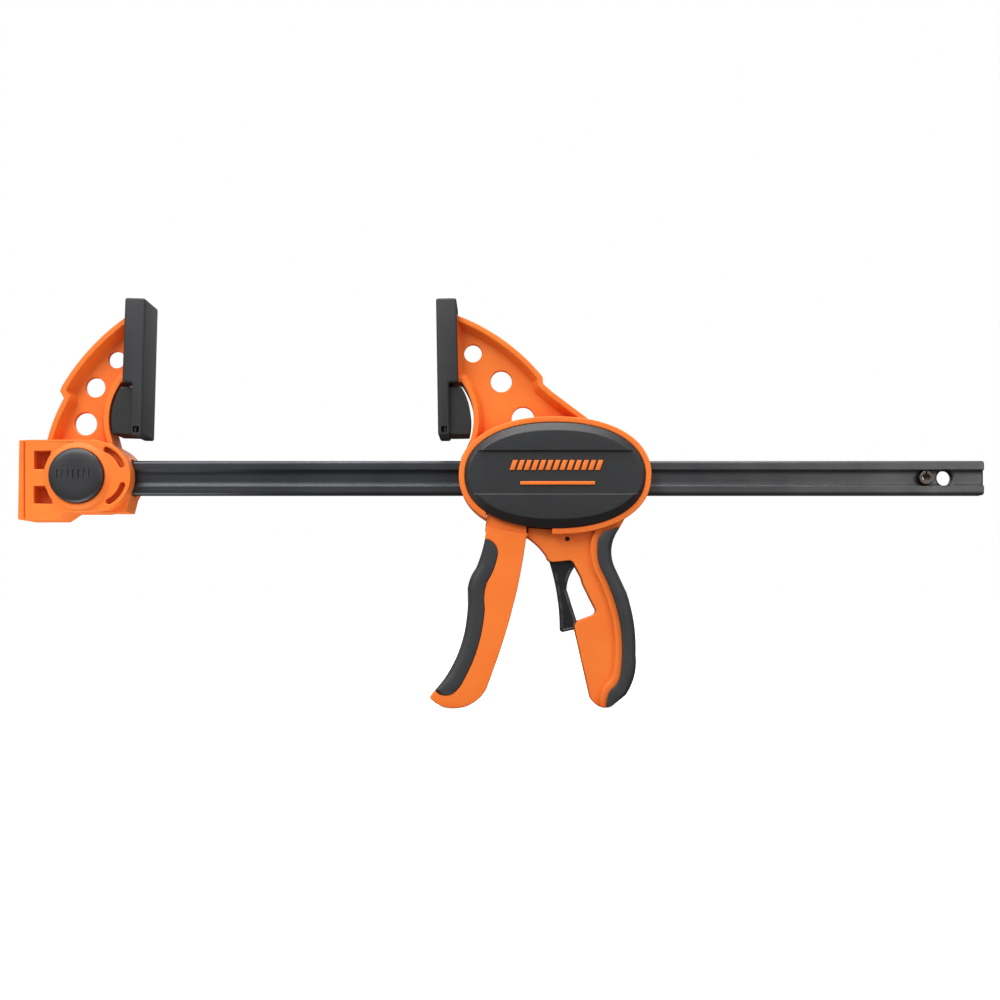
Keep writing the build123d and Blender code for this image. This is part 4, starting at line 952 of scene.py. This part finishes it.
def model_pad(name, face_x, into_jaw, lean):
    """A soft pad whose face stands at face_x. into_jaw is 1 or -1, lean is in degrees."""
    back_x = (face_x + into_jaw * (PAD_SKIRT + PAD_SHOULDER)) * MM
    left, right = sorted((face_x, face_x + into_jaw * PAD_SKIRT))
    pad = box_piece(
        name, (left, -PAD_HALF_WIDTH, PAD_FEET), (right, PAD_HALF_WIDTH, PAD_HEAD)
    )
    edit(pad)
    bpy.ops.mesh.select_all(action="SELECT")
    bpy.ops.mesh.bisect(plane_co=(0, 0, PAD_NOTCH * MM), plane_no=(0, 0, 1))
    above_notch = (PAD_NOTCH + 1) * MM
    pick_faces(
        pad,
        lambda face: face.normal.x * into_jaw > 0.9
        and face.calc_center_median().z > above_notch,
    )
    bpy.ops.mesh.extrude_region_move(
        TRANSFORM_OT_translate={"value": (into_jaw * PAD_SHOULDER * MM, 0, 0)}
    )
    pick_edges(
        pad,
        lambda edge: all(
            vert.co.z > (PAD_HEAD - 0.1) * MM and abs(vert.co.x - back_x) < 0.1 * MM
            for vert in edge.verts
        ),
    )
    bpy.ops.transform.translate(value=(-into_jaw * PAD_TOP_LEAN * MM, 0, 0))
    outer = pick_edges(pad, lambda edge: edge.calc_face_angle() > radians(40))
    bpy.ops.mesh.bevel(offset=PAD_ROUND * MM, segments=4, affect="EDGES", clamp_overlap=False)
    done()

    left, right = sorted((face_x + into_jaw * FACE_WALL, face_x + into_jaw * PAST_THE_BACK))
    low_corner = (left, -HOLLOW_HALF_WIDTH, HOLLOW_FEET)
    cut(pad, box_piece("hollow", low_corner, (right, HOLLOW_HALF_WIDTH, HOLLOW_HEAD)))
    left, right = sorted((face_x + into_jaw * SLOT_NEAR, face_x + into_jaw * SLOT_FAR))
    for side in (-1, 1):
        front, back = sorted((side * SLOT_FLOOR, side * PAST_THE_SIDE))
        cut(pad, box_piece("lug slot", (left, front, HOLLOW_FEET), (right, back, SLOT_TOP)))

    edit(pad)
    bpy.ops.mesh.select_all(action="SELECT")
    bpy.ops.mesh.quads_convert_to_tris(quad_method="BEAUTY", ngon_method="BEAUTY")
    rim = pick_edges(pad, lambda edge: edge.calc_face_angle() > radians(50))
    bpy.ops.mesh.bevel(
        offset=PAD_RIM_ROUND * MM,
        segments=2,
        affect="EDGES",
        clamp_overlap=False,
        loop_slide=False,
    )
    bpy.ops.mesh.select_all(action="SELECT")
    bpy.ops.mesh.normals_make_consistent(inside=False)
    bpy.ops.transform.rotate(
        value=-radians(lean),
        orient_axis="Y",
        center_override=(face_x * MM, 0, PAD_PIVOT * MM),
    )
    done()
    print(name, "outer edges", outer, "rim edges", rim)
    return pad


OPENING = 160.0          # between the two faces at rest
fixed_soft_pad = model_pad("fixed_soft_pad", face_x=0.0, into_jaw=-1, lean=1.6)
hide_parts("fixed_pad")
finish_piece(fixed_soft_pad, "fixed_swivel", pad_rubber)
moving_soft_pad = model_pad("moving_soft_pad", face_x=OPENING, into_jaw=1, lean=-0.9)
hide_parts("moving_pad")
finish_piece(moving_soft_pad, "moving_swivel", pad_rubber)

# %% [markdown]
# ## Rubber grips
#
# The handle and the lever are moulded a second time in soft rubber, over an orange core. The
# seam with the orange follows a curve that is already right in the solid, so each grip starts
# from a copy of it, whose triangles are merged first and whose flats become single faces. What
# makes a grip look soft is its section: the outer edge is a wide round that a palm or a finger
# lies on, and the edge along the seam is a narrow one.

# %% Copy a solid to work on
def work_copy(node_name, name):
    """A copy of a solid's mesh with its triangles merged and its flats made one face each."""
    piece = bpy.data.objects.new(name, NODES[node_name].data.copy())
    bpy.context.scene.collection.objects.link(piece)
    only(piece)
    bpy.ops.mesh.customdata_custom_splitnormals_clear()
    edit(piece)
    bpy.ops.mesh.select_all(action="SELECT")
    bpy.ops.mesh.remove_doubles(threshold=SAME_POINT)
    bpy.ops.mesh.dissolve_limited(angle_limit=radians(0.5))
    done()
    return piece


# %% [markdown]
# A wide bevel goes wrong on one long face with a hundred corners, above all where the rubber
# runs out to a point. So the round is rolled instead. Bisects first slice the grip across into
# bands, and then lengthwise near each side face. Each slice is drawn in from the outline, by
# what a quarter circle asks for at its distance from the side. The draw fades out towards the
# two ends of the grip, so nothing folds over there.

# %% Roll the edges along a side face
def roll_edges(piece, radius, steps, on_wall, fade):
    """Rolls the edges between the side faces and the walls whose normal passes on_wall."""
    half_width = max(vert.co.y for vert in piece.data.vertices)
    flat = half_width - radius
    for step in range(steps):
        slice_at = flat + radius * sin(pi / 2 * step / steps)
        for side in (-1, 1):
            bpy.ops.mesh.select_all(action="SELECT")
            bpy.ops.mesh.bisect(plane_co=(0, side * slice_at, 0), plane_no=(0, 1, 0))
    shape = bmesh.from_edit_mesh(piece.data)
    inwards = {}
    for face in shape.faces:
        from_middle_plane = abs(face.calc_center_median().y)
        if abs(face.normal.y) < 0.99 or from_middle_plane < half_width - 0.1 * MM:
            continue
        for vert in face.verts:
            walls = [other.normal for other in vert.link_faces if abs(other.normal.y) < 0.3]
            chosen = [normal for normal in walls if on_wall(normal)]
            if chosen:
                across = sum(chosen, Vector())
                spot = (round(vert.co.x / MM, 2), round(vert.co.z / MM, 2))
                inwards[spot] = -Vector((across.x, 0, across.z)).normalized()
    for vert in shape.verts:
        reach = (abs(vert.co.y) - flat) / radius
        spot = (round(vert.co.x / MM, 2), round(vert.co.z / MM, 2))
        if reach > 0 and spot in inwards:
            draw = radius * (1 - (1 - min(reach, 1.0) ** 2) ** 0.5)
            vert.co += inwards[spot] * draw * fade(vert.co.z)
    bmesh.update_edit_mesh(piece.data)
    return len(inwards)


# %% Round a grip
BAND_HEIGHT = 3 * MM
PALM_FADE, SEAM_FADE = 13 * MM, 5 * MM
LEAST_DRAW = 0.05          # the share of the round that is left at the very ends
PALM_STEPS, SEAM_STEPS = 7, 3
SEAM_ROUND = 0.6 * MM


def model_grip(node_name, name, outwards, palm_round):
    """A grip with a wide round outside. outwards tests the normal of a wall of the outline."""
    grip = work_copy(node_name, name)
    heights = [vert.co.z for vert in grip.data.vertices]
    lowest, highest = min(heights), max(heights)
    edit(grip)
    bands = int((highest - lowest) / BAND_HEIGHT)
    for band in range(1, bands):
        height = lowest + (highest - lowest) * band / bands
        bpy.ops.mesh.select_all(action="SELECT")
        bpy.ops.mesh.bisect(plane_co=(0, 0, height), plane_no=(0, 0, 1))

    def fade_over(distance):
        return lambda z: min(1.0, LEAST_DRAW + min(z - lowest, highest - z) / distance)

    def along_seam(normal):
        return not outwards(normal)

    palm = roll_edges(grip, palm_round, PALM_STEPS, outwards, fade_over(PALM_FADE))
    seam = roll_edges(grip, SEAM_ROUND, SEAM_STEPS, along_seam, fade_over(SEAM_FADE))
    done()
    print(name, "palm points", palm, "seam points", seam)
    return grip


handle_soft_grip = model_grip(
    "handle_grip",
    "handle_soft_grip",
    lambda normal: normal.x > 0.2 or normal.z < -0.5,
    palm_round=4.6 * MM,
)
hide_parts("handle_grip")
finish_piece(handle_soft_grip, "head", grip_rubber)
lever_soft_grip = model_grip(
    "lever_grip",
    "lever_soft_grip",
    lambda normal: normal.x < -0.2,
    palm_round=4.4 * MM,
)
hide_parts("lever_grip")
finish_piece(lever_soft_grip, "lever", grip_rubber)

# %% [markdown]
# ## Trigger
#
# A moulded trigger is thick where the finger pulls it and along its edges, and thinner between
# them, so that the plastic cools evenly. Each side face of the copy is inset to leave a border,
# and the inner face is pushed in to make the panel.

# %% Model the trigger
TRIGGER_HALF_WIDTH = 4.2
PANEL_BORDER, PANEL_SLOPE, PANEL_DEPTH = 1.1, 0.4, 0.6
OUTLINE_ROUND = 0.4
trigger = work_copy("release_trigger", "trigger_with_panels")
edit(trigger)
for side in (-1, 1):
    panels = pick_faces(
        trigger,
        lambda face: face.normal.y * side > 0.99
        and face.calc_center_median().y * side > (TRIGGER_HALF_WIDTH - 0.1) * MM,
    )
    bpy.ops.mesh.inset(thickness=PANEL_BORDER * MM, depth=0)
    bpy.ops.mesh.inset(thickness=PANEL_SLOPE * MM, depth=-PANEL_DEPTH * MM)
bpy.ops.mesh.select_all(action="SELECT")
bpy.ops.mesh.quads_convert_to_tris(quad_method="BEAUTY", ngon_method="BEAUTY")
outline = pick_edges(
    trigger,
    lambda edge: edge.calc_face_angle() > radians(60)
    and all(abs(vert.co.y) > (TRIGGER_HALF_WIDTH - 0.1) * MM for vert in edge.verts),
)
bpy.ops.mesh.bevel(
    offset=OUTLINE_ROUND * MM,
    segments=3,
    affect="EDGES",
    clamp_overlap=False,
    loop_slide=False,
)
done()
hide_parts("release_trigger")
finish_piece(trigger, "trigger", trigger_black)
print("trigger faces on each side", panels, "outline edges", outline)

# %% [markdown]
# ## Push button
#
# The button is a shallow dome with a sloping rim, so that a thumb finds it and doesn't catch on
# it, and a few sunk ribs in the middle stop the thumb from sliding. The copy of the solid gets
# rings by repeated insets, and each ring is set a little further back than the one inside it.
# The ribs are cut last, with small boxes.

# %% Model the button
BUTTON_X, BUTTON_FACE, BUTTON_RADIUS = -35.5, -20.5, 14.7
RINGS = (1.3, 1.2, 3.0, 4.0)       # their widths, from the rim inwards
SET_BACK = ((0, 0.75), (1.3, 0.32), (2.5, 0.2), (5.5, 0.1))   # at each distance from the rim
RING_REACH = 0.45                  # corners this close to a ring's radius belong to it
RIBS_X, RIB_PITCH = BUTTON_X - 0.8, 2.9
RIB_HALF_WIDTH, RIB_DEPTH, RIB_ROUND = 0.55, 0.6, 0.5
RIB_LOW, RIB_HIGH = -2.0, 3.2
IN_FRONT = -25                     # where a rib's cutter ends, before the button
button = work_copy("push_button", "push_button_face")
edit(button)
front = pick_faces(
    button,
    lambda face: face.normal.y < -0.99
    and face.calc_center_median().y < (BUTTON_FACE + 0.1) * MM,
)
for ring in RINGS:
    bpy.ops.mesh.inset(thickness=ring * MM, depth=0)
shape = bmesh.from_edit_mesh(button.data)
for from_rim, distance in SET_BACK:
    radius = BUTTON_RADIUS - from_rim
    bpy.ops.mesh.select_mode(type="VERT")
    bpy.ops.mesh.select_all(action="DESELECT")
    for vert in shape.verts:
        away = ((vert.co.x / MM - BUTTON_X) ** 2 + (vert.co.z / MM) ** 2) ** 0.5
        if abs(away - radius) < RING_REACH and vert.co.y < (BUTTON_FACE + 0.05) * MM:
            vert.select_set(True)
    bmesh.update_edit_mesh(button.data)
    bpy.ops.transform.translate(value=(0, distance * MM, 0))
    shape = bmesh.from_edit_mesh(button.data)
done()
for step in range(-3, 4):
    middle = RIBS_X + step * RIB_PITCH
    rib = box_piece(
        "rib",
        (middle - RIB_HALF_WIDTH, IN_FRONT, RIB_LOW),
        (middle + RIB_HALF_WIDTH, BUTTON_FACE + RIB_DEPTH, RIB_HIGH),
    )
    edit(rib)
    pick_edges(rib, lambda edge: abs((edge.verts[0].co - edge.verts[1].co).y) > 1 * MM)
    bpy.ops.mesh.bevel(offset=RIB_ROUND * MM, segments=3, affect="EDGES")
    done()
    cut(button, rib)
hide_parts("push_button")
finish_piece(button, "lock", button_black, smooth=25)
print("front faces of the button:", front)

# %% [markdown]
# ## Mark on the cover
#
# Where a maker would put a name there is only a plain raised pattern: a row of slanted bars
# over one long line. One bar is modelled from a box, leaned over by moving its top face, and
# rounded. The others are copies of it, each with a mesh of its own.

# %% Model the mark
MARK_BACK, MARK_FRONT = -15.7, -16.3       # from inside the cover to its raised face
MARK_ROUND = 0.2
STROKES, STROKE_PITCH, STROKE_LEAN = 13, 3.88, 1.9
STROKE_LEFT, STROKE_RIGHT, STROKE_LOW, STROKE_HIGH = 199.6, 202.2, 3.2, 8.6
LINE_LEFT, LINE_RIGHT, LINE_LOW, LINE_HIGH = 205.4, 246.0, -4.8, -2.9


def round_front(piece):
    """In edit mode, rounds the edges of the face that is seen."""
    pick_edges(piece, lambda edge: all(v.co.y < (MARK_FRONT + 0.1) * MM for v in edge.verts))
    bpy.ops.mesh.bevel(offset=MARK_ROUND * MM, segments=2, affect="EDGES")


mark = box_piece(
    "cover_mark", (STROKE_LEFT, MARK_FRONT, STROKE_LOW), (STROKE_RIGHT, MARK_BACK, STROKE_HIGH)
)
edit(mark)
pick_faces(mark, lambda face: face.normal.z > 0.9)
bpy.ops.transform.translate(value=(STROKE_LEAN * MM, 0, 0))
round_front(mark)
done()
strokes_in_row = [mark]
for step in range(1, STROKES):
    stroke = bpy.data.objects.new("stroke", mark.data.copy())
    bpy.context.scene.collection.objects.link(stroke)
    stroke.location.x = step * STROKE_PITCH * MM
    strokes_in_row.append(stroke)
line = box_piece("line", (LINE_LEFT, MARK_FRONT, LINE_LOW), (LINE_RIGHT, MARK_BACK, LINE_HIGH))
edit(line)
round_front(line)
done()
only(mark)
for stroke in (*strokes_in_row, line):
    stroke.select_set(True)
bpy.ops.object.join()
bpy.ops.object.transform_apply(location=True, rotation=True, scale=True)
finish_piece(mark, "head", orange_nylon)

# %% [markdown]
# ## Springs
#
# Three coil springs work inside the clamp. The wide one round the bar shortens as the lever
# pushes the plates, the thin one as the trigger tips the brake plates, and the third as the
# button goes in. Each spring here is a copy of its solid, with its triangles merged, finished
# and given a mesh of its own, riding on the body of its solid.

# %% Copy the springs
def model_spring(node_name, name, body):
    """A copy of a coil spring's solid, finished, given its own mesh and put on a body."""
    spring = work_copy(node_name, name)
    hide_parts(node_name)
    finish_piece(spring, body, spring_steel)
    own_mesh(spring)


model_spring(
    "drive_spring", "drive_coil", "head"
)
model_spring(
    "button_spring",
    "button_coil",
    "frame",
)
model_spring(
    "brake_spring", "brake_coil", "head"
)
